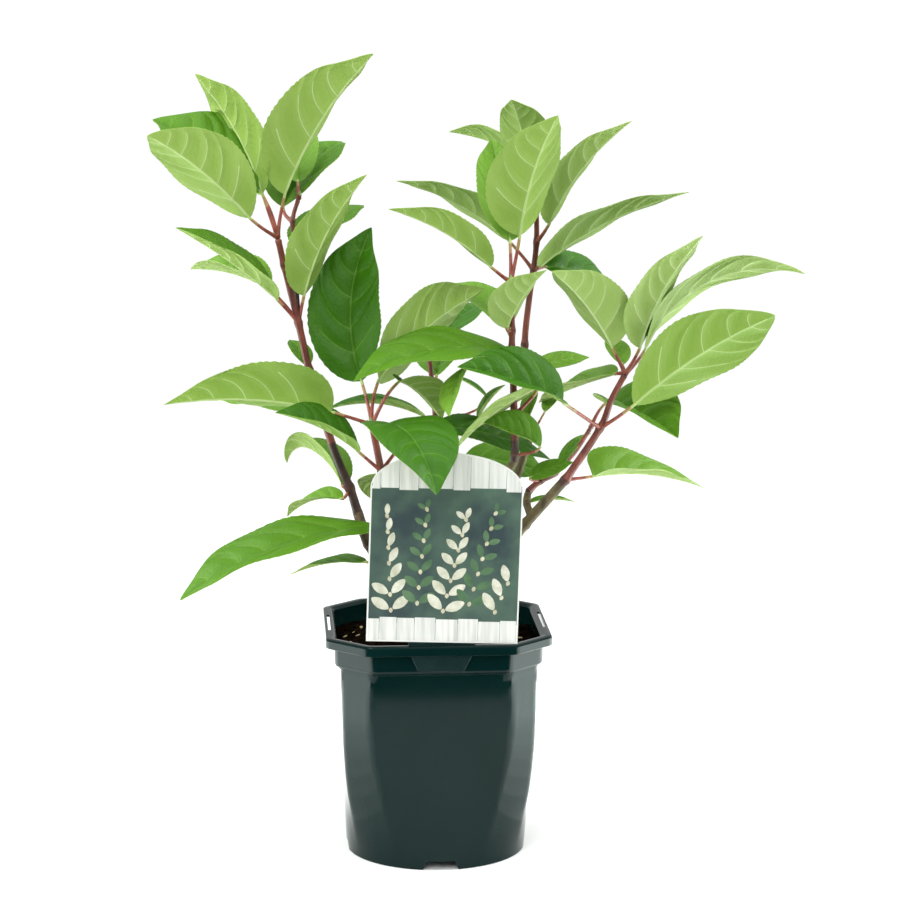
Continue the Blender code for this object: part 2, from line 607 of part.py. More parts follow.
def make_shoots(parts, boughs):
    rng = random.Random(SEED)
    standing = [tree_of(piece.data) for piece in parts.objects]
    masses = {}
    for name, shoot in SHOOTS.items():
        group = collection(name + "_pieces")
        knots = [vec(k) for k in shoot["stem"]]
        bough = boughs[shoot["bough"]][0]
        heading = (bough[-1] - bough[-2]).normalized()
        foot = bough[-1] + heading * CLEAR * MM
        stem = tube([foot, *along(knots, 3)], [r * MM for r in shoot["radii"]], rounded=True,
                    foot_normal=heading)
        body = add_object(name, stem, parts, "leaf")
        pieces = []
        shapes = [(knots[shape["knot"]], shape, True) for shape in shoot["leaves"]]
        if "twig" in shoot:
            twig = shoot["twig"]
            twig_knots = [knots[twig["leaves_at"]], *(vec(k) for k in twig["stem"])]
            pieces.append(tube(along(twig_knots, 3), [r * MM for r in twig["radii"]],
                               rounded=True))
            shapes += [(vec(twig["stem"][shape["knot"]]), shape, True)
                       for shape in twig["leaves"]]
        shapes += [(knots[shape["knot"]], shape, False) for shape in behind_leaves(shoot, rng)]
        own = []
        for i, (node, shape, kept) in enumerate(shapes):
            mesh = leaf_mesh(node, shape)
            tree = tree_of(mesh)
            if not kept and any(tree.overlap(other) for other in standing + own):
                continue
            own.append(tree)
            pieces.append(mesh)
        masses[name] = (body, group, pieces)
        standing += own
    for name, (body, group, pieces) in masses.items():
        for i, mesh in enumerate(pieces):
            add_object(f"{name}_piece_{i}", mesh, group)
        boolean(body, "UNION", group=group, solver=JOIN_SOLVER)
        for piece in list(group.objects):
            bpy.data.objects.remove(piece)
        bpy.data.collections.remove(group)
    return masses


def main():
    for old in list(bpy.data.objects):
        bpy.data.objects.remove(old)
    parts = collection("potted_hydrangea")
    cutters = collection("cutters")
    make_pot(parts, cutters)
    make_soil(parts)
    make_label(parts)
    make_trunk(parts)
    boughs = make_boughs(parts)
    make_shoots(parts, boughs)


main()
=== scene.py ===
# A potted hydrangea shrub, dressed round its solid frame: pot, soil, label, stems and leaves.
# Metres, +Z up, the label faces -Y. The tables hold millimetres and degrees. An azimuth turns
# from +X towards +Y, and a rise is the angle above the horizontal.

from math import cos, pi, radians, sin, sqrt
import random

import bpy
from mathutils import Matrix, Vector, noise
import numpy as np


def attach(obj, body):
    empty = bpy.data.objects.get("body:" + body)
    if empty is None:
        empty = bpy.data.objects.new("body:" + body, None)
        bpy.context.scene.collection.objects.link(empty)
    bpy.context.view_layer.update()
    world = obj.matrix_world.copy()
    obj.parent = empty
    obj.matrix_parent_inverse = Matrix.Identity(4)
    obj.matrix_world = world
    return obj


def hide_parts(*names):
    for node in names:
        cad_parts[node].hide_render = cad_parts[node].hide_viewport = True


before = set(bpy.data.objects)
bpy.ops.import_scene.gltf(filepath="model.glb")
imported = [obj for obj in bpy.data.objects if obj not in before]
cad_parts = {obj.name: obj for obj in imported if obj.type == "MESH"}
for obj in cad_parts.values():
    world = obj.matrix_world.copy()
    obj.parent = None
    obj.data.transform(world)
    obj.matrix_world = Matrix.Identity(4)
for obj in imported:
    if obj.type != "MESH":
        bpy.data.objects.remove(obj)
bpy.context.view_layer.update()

MM = 0.001
CLEAR = 0.3                     # gap between a bough and what bears it

# Leaf colours by tone, on the upper and the lower side: blade, light, dark and vein. The dark colour is
# painted shade midway between the veins; the light one, beside the veins, is partly the leaf's own paler
# colour and partly painted light.
LEAF_PARTS = (("leaf_upper", "leaf_upper_pale_and_painted_light", "leaf_upper_painted_shade", "vein_upper"),
              ("leaf_under", "leaf_under_pale_and_painted_light", "leaf_under_painted_shade", "vein_under"))
# The lower side's colours are the leaf's own paler underside, brightened as painted light shining through the
# blade.
LEAF_COLOURS = {
    "young": (((0.140, 0.300, 0.026), (0.148, 0.310, 0.030), (0.132, 0.290, 0.022), (0.215, 0.370, 0.075)),
              ((0.315, 0.458, 0.122), (0.332, 0.474, 0.134), (0.300, 0.444, 0.110), (0.500, 0.630, 0.290))),
    "full": (((0.080, 0.212, 0.008), (0.086, 0.221, 0.010), (0.074, 0.202, 0.006), (0.140, 0.290, 0.040)),
             ((0.272, 0.418, 0.086), (0.288, 0.434, 0.098), (0.257, 0.404, 0.075), (0.450, 0.585, 0.240))),
    "deep": (((0.036, 0.136, 0.003), (0.040, 0.145, 0.004), (0.032, 0.127, 0.002), (0.090, 0.220, 0.022)),
             ((0.210, 0.350, 0.058), (0.222, 0.362, 0.066), (0.198, 0.338, 0.050), (0.380, 0.510, 0.190)))}
TONES = tuple(LEAF_COLOURS)
UPPER_ROUGHNESS = {"young": (0.42, 0.58), "full": (0.40, 0.55), "deep": (0.38, 0.52)}
UNDER_ROUGHNESS = (0.55, 0.7)
LEAF_SHINE = (0.2, 0.12)        # of the upper and the lower side

# Camera, aimed a little down and to the right of the pot
CAMERA_AT = (-0.1126, -1.8967, 0.593)
CAMERA_TURN = (80.45, 0.0, -3.7)
CAMERA_LENS = 115.0

# Table and lights, in metres and watts
TABLE = (1.5, 0.44, 1.5)        # how far the table reaches back, front and to each side
WHITE = (1.0, 1.0, 1.0, 1)
PAPER = (0.98, 1.0, 0.99, 1)    # colour of the room's light
LAMPS = [("top", (0.0, -0.2, 3.0), (0, 0, 0), 3.4, 60), ("key", (-0.9, -2.3, 1.7), (0, 0, 0.3), 1.4, 34),
         ("left", (-1.3, 0.05, 0.9), (-0.42, -0.05, 0), 0.8, 15),
         ("right", (1.3, 0.05, 0.9), (0.42, -0.05, 0), 0.8, 15),
         ("fill", (1.5, -1.5, 0.5), (0.1, 0, 0.35), 1.0, 5)]
STRIP_ENDS = (0.09, 0.12, 0.15, 0.18, 0.21, 0.24, 0.28, 0.32, 0.37, 0.42, 1.25)
STRIP_DEPTH = 0.7

# Pot
RIM_HALF = 75.0                 # half the width across the rim's flats
RIM_CORNER = 87.5               # from the middle to the rim's cut corners
POT_HEIGHT = 156.1
RIM_DROP = 6.6
LEDGE = 5.5
BAND_HALF = 69.0
BAND_CORNER = 80.4
BAND_TOP_CORNER = 81.2
BAND_FOOT = 137.0
FOOT_RADIUS = 60.6
WALL = 1.4
DISC_RADIUS = 44.0
FLOOR_RISE = 6.5
POT_SIDES = 192
# Body sections: height, flats' distance, corners' distance, roundness (0 sharp, 1 a circle), crispness
BODY = [(4, 60.9, 66.6, 1.0, 90), (12, 61.4, 67.4, 0.88, 90), (20.5, 61.9, 68.4, 0.72, 100),
        (26, 62.2, 69.2, 0.62, 110), (34, 62.5, 70.5, 0.44, 140), (46, 62.9, 72.0, 0.22, 160),
        (60, 63.3, 74.0, 0.08, 170), (80, 63.9, 77.2, 0.0, 170), (98, 64.4, 78.9, 0.0, 170),
        (112, 64.8, 79.0, 0.0, 170), (134.6, 65.4, 78.7, 0.0, 170)]
SLOT = (45.0, 1.7, 4.0)         # length, width and depth of cut
NOTCH = (24.0, 29.0, 6.0)       # width at the top and the foot, and height

# Soil
SOIL_TOP = 145.0
SOIL_REACH = 67.0
CRUMBS = 420
CHIP_EVERY = 7

# Plant label
LABEL_Y = -72.0
LABEL_THICK = 0.9
LABEL_FOOT = 158.2
LABEL_SIZE = (99.0, 102.0)
LABEL_ARCH = 23.5
LABEL_LEAN = 2.0
TONGUE = (43.0, 30.0, 19.5)     # width at the top and the foot, and length
TONGUE_NECK = 6.0               # height over which the tongue keeps its foot's width
PICTURE = (15.0, 101.5)         # foot and top of the picture above the label's foot
PLANK = 13.1
SPRIGS = 5
SPRIG_STEPS = 7

# Trunk and boughs
TRUNK_FOOT = SOIL_TOP + CLEAR
TRUNK_LEAN = (1.5, -1.0)
TRUNK_RADII = [(0, 10.8), (2.5, 9.2), (7, 7.6), (12, 7.4), (17, 9.2), (22, 10.5), (26.5, 9.5),
               (29.5, 7.4), (31.7, 4.0)]
KNUCKLE_RISE = 22.0
KNUCKLE_RADIUS = 10.6
CURVE_STEPS = 9
SEED = 11

# Blades. The relief is in metres, for a leaf 100 mm long.
VEINS = 5
VEIN_HALF = 0.016
ROW_STEPS = [0.0625 * k for k in range(1, 16)]
FINE_STEPS = [0.0455 * k for k in range(1, 22)]
ROWS = sorted([0.0, VEINS + 1.0] + [k + f for k in range(1, VEINS + 1) for f in ROW_STEPS] + FINE_STEPS
              + [k + s * VEIN_HALF for k in range(1, VEINS + 1) for s in (-1, 1)])
HALF_COLUMNS = (0.0, 0.04, 0.14, 0.28, 0.43, 0.58, 0.76, 0.94, 1.0)
COLUMNS = [-c for c in reversed(HALF_COLUMNS[1:])] + list(HALF_COLUMNS)
QUILT, RUNGS, GROOVE, WAVE, LEAN, TOOTH = 0.0019, 0.00022, 0.0009, 0.0009, 0.0011, 0.0006
BLADE_THICK = 0.00034

# Boughs: (parent, distance along the parent or None for the trunk, points, radii at foot and tip).
# Points run from near the parent to the bough's tip.
BOUGHS = {
    "left_stem": ("trunk", None, [(-28, -10, 185), (-45, -18, 213), (-53, -20, 236)], (4.4, 3.4)),
    "right_stem": ("trunk", None, [(33, -5.5, 191), (60, -10, 224), (84, -14, 252)], (4.2, 3.2)),
    "front_left_stem": ("trunk", None, [(-4, -22, 184), (-18, -37, 208), (-30, -45, 235)], (3.2, 2.7)),
    "middle_front_stem": ("trunk", None, [(6, -8, 200), (31, -18, 236), (52, -22, 270)], (3.4, 2.7)),
    "back_stem": ("trunk", None, [(3, 24, 190), (2, 40, 224), (4, 50, 258)], (3.4, 2.6)),
    "low_left_stem": ("left_stem", 0.3, [(-32, -22, 192), (-34, -29, 203)], (2.4, 2.2)),
    "right_short_stem": ("right_stem", 0.72, [(62, 2, 236), (63.2, 6.8, 241.6)], (2.6, 2.4)),
    "middle_back_stem": ("right_stem", 0.4, [(38, 6, 212), (54, 14, 246), (63.3, 17.5, 272)], (3.0, 2.6)),
}


def leaf(knot, azimuth, rise, length, stalk=22, stalk_to=None, width=0.5, fold=18, roll=0,
         droop=30, sweep=0, curl=0, peak=0.42, tone=None):
    """A leaf on a shoot. It leaves the shoot at the numbered knot, on a stalk of the given
    length that points to stalk_to (azimuth, rise), and its blade's chord points to azimuth and
    rise. Width is a part of the length and is greatest at peak. Fold lifts both halves, roll
    turns the blade about its rib, droop and sweep bend it down and sideways, and curl rolls its
    tip under."""
    return dict(knot=knot, azimuth=azimuth, rise=rise, length=length, stalk=stalk,
                stalk_to=stalk_to or (azimuth, rise + 15), width=width, fold=fold, roll=roll,
                droop=droop, sweep=sweep, curl=curl, peak=peak, tone=tone)


# Shoots: the mass of leaves on each bough. Knots are points along the shoot's stem. "behind"
# gives the knots that bear a further pair of leaves on the far side, by the seeded rule.
SHOOTS = {
    "left_leaf_mass": dict(bough="left_stem", radii=(3.0, 2.0), stem=[
        (-54, -20, 239.5), (-58, -20, 252), (-68, -20, 277), (-76, -21, 304), (-84, -22, 331),
        (-91, -24, 363), (-100, -25, 401), (-104, -26, 419)], leaves=[
        leaf(1, 132, 21, 66, 7, (131, 3), droop=60, fold=33, roll=-18, curl=120),
        leaf(1, 140, -20, 52, 9, (-160, -55), droop=50, roll=10),
        leaf(3, 135, 0, 88, 16, (113, -13), droop=20, fold=8, roll=9),
        leaf(4, 112, 24, 34, 4, width=0.44),
        leaf(5, -154, 35, 87, 22, (-159, 47), width=0.42, fold=31, roll=20, droop=15),
        leaf(5, -50, 53, 104, 18, (27, 76), width=0.48, fold=20, roll=-9),
        leaf(5, 138, 7, 72, 30, (150, 44), fold=38, roll=8),
        leaf(7, -32, 54, 115, 28, (23, 79), width=0.54, fold=34, roll=14),
        leaf(7, -148, 37, 94, 24, (-154, 34), width=0.6, fold=20, roll=-32, peak=0.5),
        leaf(7, 144, 55, 94, 30, (167, 71), fold=11, roll=-68),
        leaf(7, 154, 30, 92, 31, (168, 70), width=0.7, fold=18, roll=21)],
        twig=dict(leaves_at=5, radii=(1.8, 1.3), stem=[
            (-92, -14, 386), (-92, -14, 405), (-94, -12, 428), (-90, -10, 443)], leaves=[
            leaf(2, 59, 27, 87, 18, (113, 28), width=0.62, fold=22),
            leaf(3, 92, 30, 76, 14, width=0.42)]),
        behind=(3, 6), room=(2,)),
    "front_left_leaf_mass": dict(bough="front_left_stem", radii=(2.6, 2.2), stem=[
        (-30.6, -45.8, 237.6), (-38, -50, 268), (-44, -50, 299)], leaves=[
        leaf(2, 58, 82, 104, 35, (104, 46), width=0.54, fold=16, roll=-2, droop=15, sweep=45, tone="deep"),
        leaf(2, 28, 34, 100, 37, (78, 44), width=0.68, fold=12, roll=54, tone="full"),
        leaf(2, 58, -30, 68, 34, (29, 52), fold=31, roll=2),
        leaf(2, -167, 5, 112, 28, (-171, 19), fold=32, roll=-43, peak=0.3, tone="deep"),
        leaf(2, -67, -23, 92, 12, (-56, 6), width=0.64, fold=10, droop=80, tone="deep"),
        leaf(1, -161, 27, 64, 22, (-159, 41), width=0.56, fold=30, roll=22),
        leaf(1, 84, -32, 66, 10, roll=20),
        leaf(1, 16, -19, 86, 57, (41, 26), width=0.38, fold=3, roll=-27)],
        behind=()),
    "middle_front_leaf_mass": dict(bough="middle_front_stem", radii=(2.6, 1.8), stem=[
        (52, -22, 273), (51, -24, 300), (50, -26, 329), (49, -28, 345), (49, -28.5, 357),
        (48, -30, 389)], leaves=[
        leaf(2, -164, -5, 120, 12, (-55, 59), width=0.46, fold=8, roll=14, droop=60, tone="full"),
        leaf(1, -151, -30, 80, 25, (-20, 50), width=0.4, fold=5, roll=-38),
        leaf(2, -107, -26, 60, 34, (-157, 12), width=0.4, fold=10, roll=-40),
        leaf(3, 122, 18, 76, 46, (90, 10), width=0.44, fold=22, roll=3),
        leaf(5, -67, 58, 96, 31, (21, 78), width=0.6, fold=23, roll=-7),
        leaf(5, -159, 29, 84, 17, (-171, 38), width=0.42, fold=23, roll=-18),
        leaf(5, 101, 54, 80, 28, (89, 70)),
        leaf(4, -52, 48, 56, 6, (-130, 20), width=0.78, fold=23, roll=-6),
        leaf(0, -168, 25, 44, 19, (-26, 20), width=0.7, fold=33, roll=37),
        leaf(1, 0, 52, 30, 33, (133, -11), width=0.7)],
        behind=(1,)),
    "middle_back_leaf_mass": dict(bough="middle_back_stem", radii=(2.6, 1.6), stem=[
        (63.8, 17.8, 275), (63, 20, 304), (62, 22, 341), (65, 24, 371), (68, 25, 391),
        (70, 26, 410), (70, 26, 429), (70, 26, 445)], leaves=[
        leaf(5, -50, 44, 104, 18, (-53, 46), width=0.38, fold=20, roll=-5),
        leaf(4, -6, 27, 114, 4, (-20, 30), width=0.42, fold=8, roll=22, peak=0.3),
        leaf(4, -156, 27, 96, 26, (170, 50), width=0.46, fold=11, roll=-10),
        leaf(4, 38, -26, 90, 9, (31, 12), fold=8, roll=-34, droop=60, tone="deep"),
        leaf(7, -114, 54, 62, 14, (-148, 62), width=0.6),
        leaf(7, 156, 18, 58, 23, (125, 58), width=0.6, roll=-20),
        leaf(1, -123, -50, 26, 15, (-65, 27), fold=34),
        leaf(2, 18, 7, 42, 19, (41, -61), width=0.4, fold=4, roll=-30),
        leaf(0, 40, 35, 21, 26, (43, 47), width=0.6)],
        behind=(7,)),
    "right_leaf_mass": dict(bough="right_stem", radii=(2.8, 1.9), stem=[
        (86.5, -14.2, 254.5), (109, -18, 290), (116, -20, 309), (125, -22, 327)], leaves=[
        leaf(1, -156, 20, 84, 47, (-133, 28), width=0.56, fold=29, roll=37, peak=0.38, tone="deep"),
        leaf(1, -27, 34, 116, 32, (-40, 34), fold=11, roll=47, peak=0.5, tone="deep"),
        leaf(3, -137, 42, 83, 20, (180, 63), width=0.62, fold=32, roll=-11),
        leaf(3, -51, 55, 96, 20, (-21, 61), width=0.46, fold=19, roll=-4),
        leaf(3, 2, 25, 131, 22, (32, 41), width=0.42, fold=6, roll=26, droop=90),
        leaf(3, 131, -21, 76, 8, fold=16, roll=13, droop=10),
        leaf(0, 25, -10, 92, 20, (18, 3), fold=30, roll=-13, peak=0.2),
        leaf(3, 100, 24, 34, 8)],
        behind=(3,)),
    "right_short_leaf_mass": dict(bough="right_short_stem", radii=(2.2, 1.4), stem=[
        (63.5, 8, 243.2), (72, 9, 250), (82, 10, 255), (97, 25, 267), (109, 38, 281)], leaves=[
        leaf(1, 8, 18, 32, 13, (-132, 16), fold=5, roll=-30),
        leaf(2, 55, 20, 48, 7, width=0.22),
        leaf(4, -61, -9, 84, 20, (8, 58), width=0.66, fold=32, roll=-10),
        leaf(1, 12, -1, 34, 22, (126, -53), width=0.4)],
        behind=()),
    "low_left_leaf_mass": dict(bough="low_left_stem", radii=(2.2, 1.8), stem=[
        (-34, -30.5, 206), (-33, -35, 216), (-32, -40, 226)], leaves=[
        leaf(2, -175, -19, 142, 8, (-172, 26), width=0.42, fold=8, roll=9, droop=40, peak=0.5),
        leaf(0, 154, -13, 58, 16, (-150, -3), fold=7, roll=1)],
        behind=()),
    "back_leaf_mass": dict(bough="back_stem", radii=(2.5, 1.6), stem=[
        (4, 50.5, 260.5), (4, 56, 284), (2, 60, 306), (0, 63, 326)], leaves=[
        leaf(1, -171, 6, 72, 19, (-117, 16), width=0.36, droop=50),
        leaf(1, 165, 30, 30, 39, (6, 23), width=0.35),
        leaf(0, -6, -11, 58, 20, (-20, 1), width=0.7, fold=3, roll=-27)],
        behind=(1, 2, 3), room=(2, 4)),
}
# The seeded rule for the leaves behind: a spread of azimuths round "straight back"
BEHIND = dict(azimuth=90, spread=(10, 34), rise=(-10, 16), length=(68, 96), width=(0.46, 0.54))
SPRAY_TONES = {
    "left_leaf_mass": ("full", "young", "full"), "front_left_leaf_mass": ("full", "deep", "full"),
    "middle_front_leaf_mass": ("young", "full"), "middle_back_leaf_mass": ("young",),
    "right_leaf_mass": ("young",), "right_short_leaf_mass": ("full",),
    "low_left_leaf_mass": ("full",), "back_leaf_mass": ("deep", "full")}
# The share of each shoot's stem that has already darkened, where it is more than a trace
OLD_SHARE = {"left_leaf_mass": 0.27, "middle_front_leaf_mass": 0.12, "middle_back_leaf_mass": 0.1}
OLD_TRACE = 0.06
STEM_PARTS = ("shoot", "shoot_green", "node", "stalk", "stalk_mid", "stalk_green", "shoot_dark")
RED, GREEN, SCAR, STALK, STALK_MID, STALK_GREEN, OLD = range(len(STEM_PARTS))
PALE_BARK = ("right_stem", "right_short_stem", "middle_back_stem", "middle_front_stem")


# ---- finishes

def feed(tree, node, **inputs):
    """Sets or links a node's inputs by name, with an underscore for each space."""
    for name, value in inputs.items():
        socket = node.inputs[name.replace("_", " ")]
        if isinstance(value, bpy.types.NodeSocket):
            tree.links.new(value, socket)
        else:
            socket.default_value = value
    return node


def add_node(tree, kind, **inputs):
    return feed(tree, tree.nodes.new(kind), **inputs)


def finish(name, dark, light=None, grain=60.0, rough=(0.4, 0.55), bump=0.0, bump_grain=400.0,
           fine=0.0002, specular=0.5, stretch=(1, 1, 1), spread=(0.3, 0.7)):
    """A finish of one colour, or one that wanders between two, with a finer grain in its relief
    and gloss."""
    made = bpy.data.materials.new(name)
    made.use_nodes = True
    tree = made.node_tree
    shader = feed(tree, tree.nodes["Principled BSDF"], Base_Color=(*dark, 1), Specular_IOR_Level=specular)
    place = add_node(tree, "ShaderNodeTexCoord").outputs["Object"]
    place = add_node(tree, "ShaderNodeMapping", Scale=stretch, Vector=place).outputs["Vector"]
    if light:
        clouds = add_node(tree, "ShaderNodeTexNoise", Scale=grain, Detail=5, Vector=place)
        ramp = add_node(tree, "ShaderNodeValToRGB", Fac=clouds.outputs["Fac"])
        for end, share, colour in zip(ramp.color_ramp.elements, spread, (dark, light)):
            end.position = share
            end.color = (*colour, 1)
        feed(tree, shader, Base_Color=ramp.outputs["Color"])
    pores = add_node(tree, "ShaderNodeTexNoise", Scale=bump_grain, Detail=3, Vector=place).outputs["Fac"]
    gloss = add_node(tree, "ShaderNodeMapRange", Value=pores, To_Min=rough[0], To_Max=rough[1])
    feed(tree, shader, Roughness=gloss.outputs["Result"])
    if bump:
        relief = add_node(tree, "ShaderNodeBump", Strength=bump, Distance=fine, Height=pores)
        feed(tree, shader, Normal=relief.outputs["Normal"])
    return made


def make_finishes():
    made = {
        "pot": finish("pot_plastic", (0.0012, 0.0112, 0.0105), (0.002, 0.0145, 0.0135), 25,
                      (0.07, 0.1), 0.01, 1600, 0.00002, 0.16),
        # The soil and its crumbs have the soil's own dark colour, taken down to near black as painted shade
        # inside the pot.
        "soil": finish("soil_dark_and_painted_shade", (0.0015, 0.001, 0.0008), (0.008, 0.005, 0.003), 160,
                       (0.85, 1.0), 1.0, 700, 0.0008, 0.0),
        "crumb": finish("soil_crumb", (0.002, 0.0015, 0.001), (0.016, 0.01, 0.006), 220,
                        (0.85, 1.0), 0.8, 900, specular=0.0),
        "chip": finish("soil_chip", (0.35, 0.25, 0.11), (0.6, 0.5, 0.3), 200, (0.7, 0.9), 0.5, 900),
        "board": finish("label_board", (0.66, 0.67, 0.63), (0.74, 0.75, 0.71), 30, (0.35, 0.5), 0.05, 900),
        "plank": finish("label_plank", (0.46, 0.48, 0.45), (0.68, 0.69, 0.65), 38, (0.35, 0.5),
                        0.08, 300, stretch=(9, 1, 0.6), spread=(0.25, 0.6)),
        "seam": finish("label_seam", (0.16, 0.18, 0.19), (0.34, 0.37, 0.38), 120, (0.5, 0.6)),
        "dusk": finish("label_dusk", (0.030, 0.050, 0.055), (0.075, 0.135, 0.095), 34, (0.3, 0.4),
                       0.03, 300, spread=(0.35, 0.65)),
        "sprig_leaf": finish("label_sprig_leaf", (0.05, 0.12, 0.055), (0.11, 0.2, 0.1), 90, (0.3, 0.4)),
        "sprig_pale": finish("label_sprig_pale", (0.42, 0.43, 0.31), (0.68, 0.68, 0.58), 140, (0.3, 0.4)),
        "sprig_warm": finish("label_sprig_warm", (0.36, 0.33, 0.22), (0.62, 0.60, 0.44), 160, (0.3, 0.4)),
        # Painted shade: the tongue's front, hanging under the rim, is coloured as dark as the shaded band
        # behind it.
        "tongue": finish("label_tongue", (0.006, 0.018, 0.018), (0.009, 0.024, 0.024), 60,
                         (0.1, 0.16), 0.02, 900),
        "bark": finish("old_bark", (0.014, 0.008, 0.005), (0.13, 0.08, 0.038), 130, (0.6, 0.9),
                       0.8, 700, 0.0005, stretch=(1, 1, 0.35)),
        "bark_pale": finish("olive_bark", (0.038, 0.026, 0.009), (0.18, 0.135, 0.05), 150,
                            (0.55, 0.8), 0.6, 700, 0.0004, stretch=(1, 1, 0.35)),
        "shoot_dark": finish("shoot_dark", (0.010, 0.005, 0.004), (0.068, 0.022, 0.014), 150,
                             (0.45, 0.6), 0.4, 700, stretch=(1, 1, 0.3)),
        "shoot": finish("shoot_red", (0.075, 0.016, 0.012), (0.25, 0.058, 0.036), 170,
                        (0.38, 0.55), 0.25, 900, stretch=(1, 1, 0.4)),
        "shoot_green": finish("shoot_green", (0.16, 0.24, 0.05), (0.30, 0.40, 0.12), 170,
                              (0.38, 0.55), 0.2, 900),
        "node": finish("shoot_node", (0.035, 0.014, 0.01), (0.12, 0.035, 0.02), 250, (0.5, 0.7), 0.5, 900),
        "stalk": finish("stalk_red", (0.16, 0.028, 0.02), (0.36, 0.085, 0.05), 200, (0.35, 0.5), 0.2, 900),
        "stalk_mid": finish("stalk_russet", (0.30, 0.17, 0.06), (0.42, 0.26, 0.10), 200,
                            (0.35, 0.5), 0.2, 900),
        "stalk_green": finish("stalk_green", (0.33, 0.44, 0.13), (0.46, 0.56, 0.2), 200,
                              (0.35, 0.5), 0.2, 900),
    }
    for tone, sides in LEAF_COLOURS.items():
        roughness = (UPPER_ROUGHNESS[tone], UNDER_ROUGHNESS)
        made[tone] = [finish(part + "_" + tone, colour, rough=rough, bump=0.7, bump_grain=480,
                             fine=0.0008, specular=shine)
                      for parts, colours, rough, shine in zip(LEAF_PARTS, sides, roughness, LEAF_SHINE)
                      for part, colour in zip(parts, colours)]
    return made


# ---- modelling helpers

def set_mode(mode):
    bpy.ops.object.mode_set(mode=mode)


def pick(piece=None):
    """Selects the piece alone, or nothing."""
    if bpy.context.object and bpy.context.object.mode == "EDIT":
        set_mode("OBJECT")
    bpy.ops.object.select_all(action="DESELECT")
    if piece:
        piece.select_set(True)
        bpy.context.view_layer.objects.active = piece


def points_of(piece):
    found = np.zeros(len(piece.data.vertices) * 3)
    piece.data.vertices.foreach_get("co", found)
    return found.reshape(-1, 3)


def set_points(piece, points):
    piece.data.vertices.foreach_set("co", np.asarray(points, float).ravel())
    piece.data.update()


def copy_of(blank, name):
    piece = bpy.data.objects.new(name, blank.data.copy())
    bpy.context.scene.collection.objects.link(piece)
    return piece


def discard(piece):
    mesh = piece.data
    bpy.data.objects.remove(piece)
    bpy.data.meshes.remove(mesh)


def dress(piece, *finishes):
    piece.data.materials.clear()
    for made in finishes:
        piece.data.materials.append(made)


def face_middles(piece):
    middles = np.zeros(len(piece.data.polygons) * 3)
    piece.data.polygons.foreach_get("center", middles)
    return middles.reshape(-1, 3)


def mark_faces(piece, slots):
    piece.data.polygons.foreach_set("material_index", np.asarray(slots, np.int32))


def flat_sheet(name, columns, rows):
    """A grid over the unit square, from 0 to 1 along X and Y."""
    pick()
    bpy.ops.mesh.primitive_grid_add(x_subdivisions=columns, y_subdivisions=rows, size=1)
    piece = bpy.context.object
    piece.name = name
    points = points_of(piece)
    points[:, :2] += 0.5
    set_points(piece, points)
    return piece


def straight_rod(name, sides, rings):
    """A rod of radius 1 from 0 to 1 up Z, cut into rings."""
    pick()
    bpy.ops.mesh.primitive_cylinder_add(vertices=sides, radius=1, depth=1)
    piece = bpy.context.object
    piece.name = name
    points = points_of(piece)
    points[:, 2] += 0.5
    set_points(piece, points)
    set_mode("EDIT")
    bpy.ops.mesh.select_mode(type="EDGE")
    bpy.ops.mesh.select_all(action="DESELECT")
    set_mode("OBJECT")
    for edge in piece.data.edges:
        low, high = (points[v][2] for v in edge.vertices)
        edge.select = bool(abs(low - high) > 0.5)
    set_mode("EDIT")
    bpy.ops.mesh.subdivide(number_cuts=rings - 1)
    set_mode("OBJECT")
    return piece


def merge_points(piece, reach, turn_out=False):
    """Joins points that lie within reach, and if asked turns the faces outwards."""
    pick(piece)
    set_mode("EDIT")
    bpy.ops.mesh.select_all(action="SELECT")
    bpy.ops.mesh.remove_doubles(threshold=reach)
    if turn_out:
        bpy.ops.mesh.normals_make_consistent(inside=False)
    set_mode("OBJECT")


def smooth(piece, angle=None):
    pick(piece)
    if angle is None:
        bpy.ops.object.shade_smooth()
    else:
        bpy.ops.object.shade_smooth_by_angle(angle=radians(angle))


def apply_modifier(piece, name, kind, **settings):
    pick(piece)
    modifier = piece.modifiers.new(name, kind)
    for key, value in settings.items():
        setattr(modifier, key, value)
    bpy.ops.object.modifier_apply(modifier=modifier.name)


def thicken(piece, thickness, offset, **settings):
    apply_modifier(piece, "thickness", "SOLIDIFY", thickness=thickness, offset=offset, **settings)


def join(name, pieces):
    pick()
    for piece in pieces:
        piece.select_set(True)
    bpy.context.view_layer.objects.active = pieces[0]
    if len(pieces) > 1:
        bpy.ops.object.join()
    pieces[0].name = name
    pieces[0].data.name = name
    return pieces[0]


def seat(piece, slot, *nodes):
    """Rides on the plant's one body, in place of the solids it stands for."""
    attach(piece, "root")
    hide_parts(*nodes)


# ---- curves

def vec(point):
    return Vector(point) * MM


def direction(azimuth, rise):
    a, r = radians(azimuth), radians(rise)
    return Vector((cos(a) * cos(r), sin(a) * cos(r), sin(r)))


def along(knots):
    """A smooth curve through the knots."""
    points = [Vector(k) for k in knots]
    ends = [points[0] * 2 - points[1], *points, points[-1] * 2 - points[-2]]
    curve = []
    for i in range(len(points) - 1):
        a, b, c, d = ends[i:i + 4]
        for j in range(CURVE_STEPS):
            t = j / CURVE_STEPS
            curve.append(0.5 * (2 * b + (c - a) * t + (2 * a - 5 * b + 4 * c - d) * t * t
                                + (3 * b - a - 3 * c + d) * t ** 3))
    curve.append(points[-1])
    return curve


def read_rows(t, shares, table):
    return np.stack([np.interp(t, shares, table[:, i]) for i in range(3)], 1)


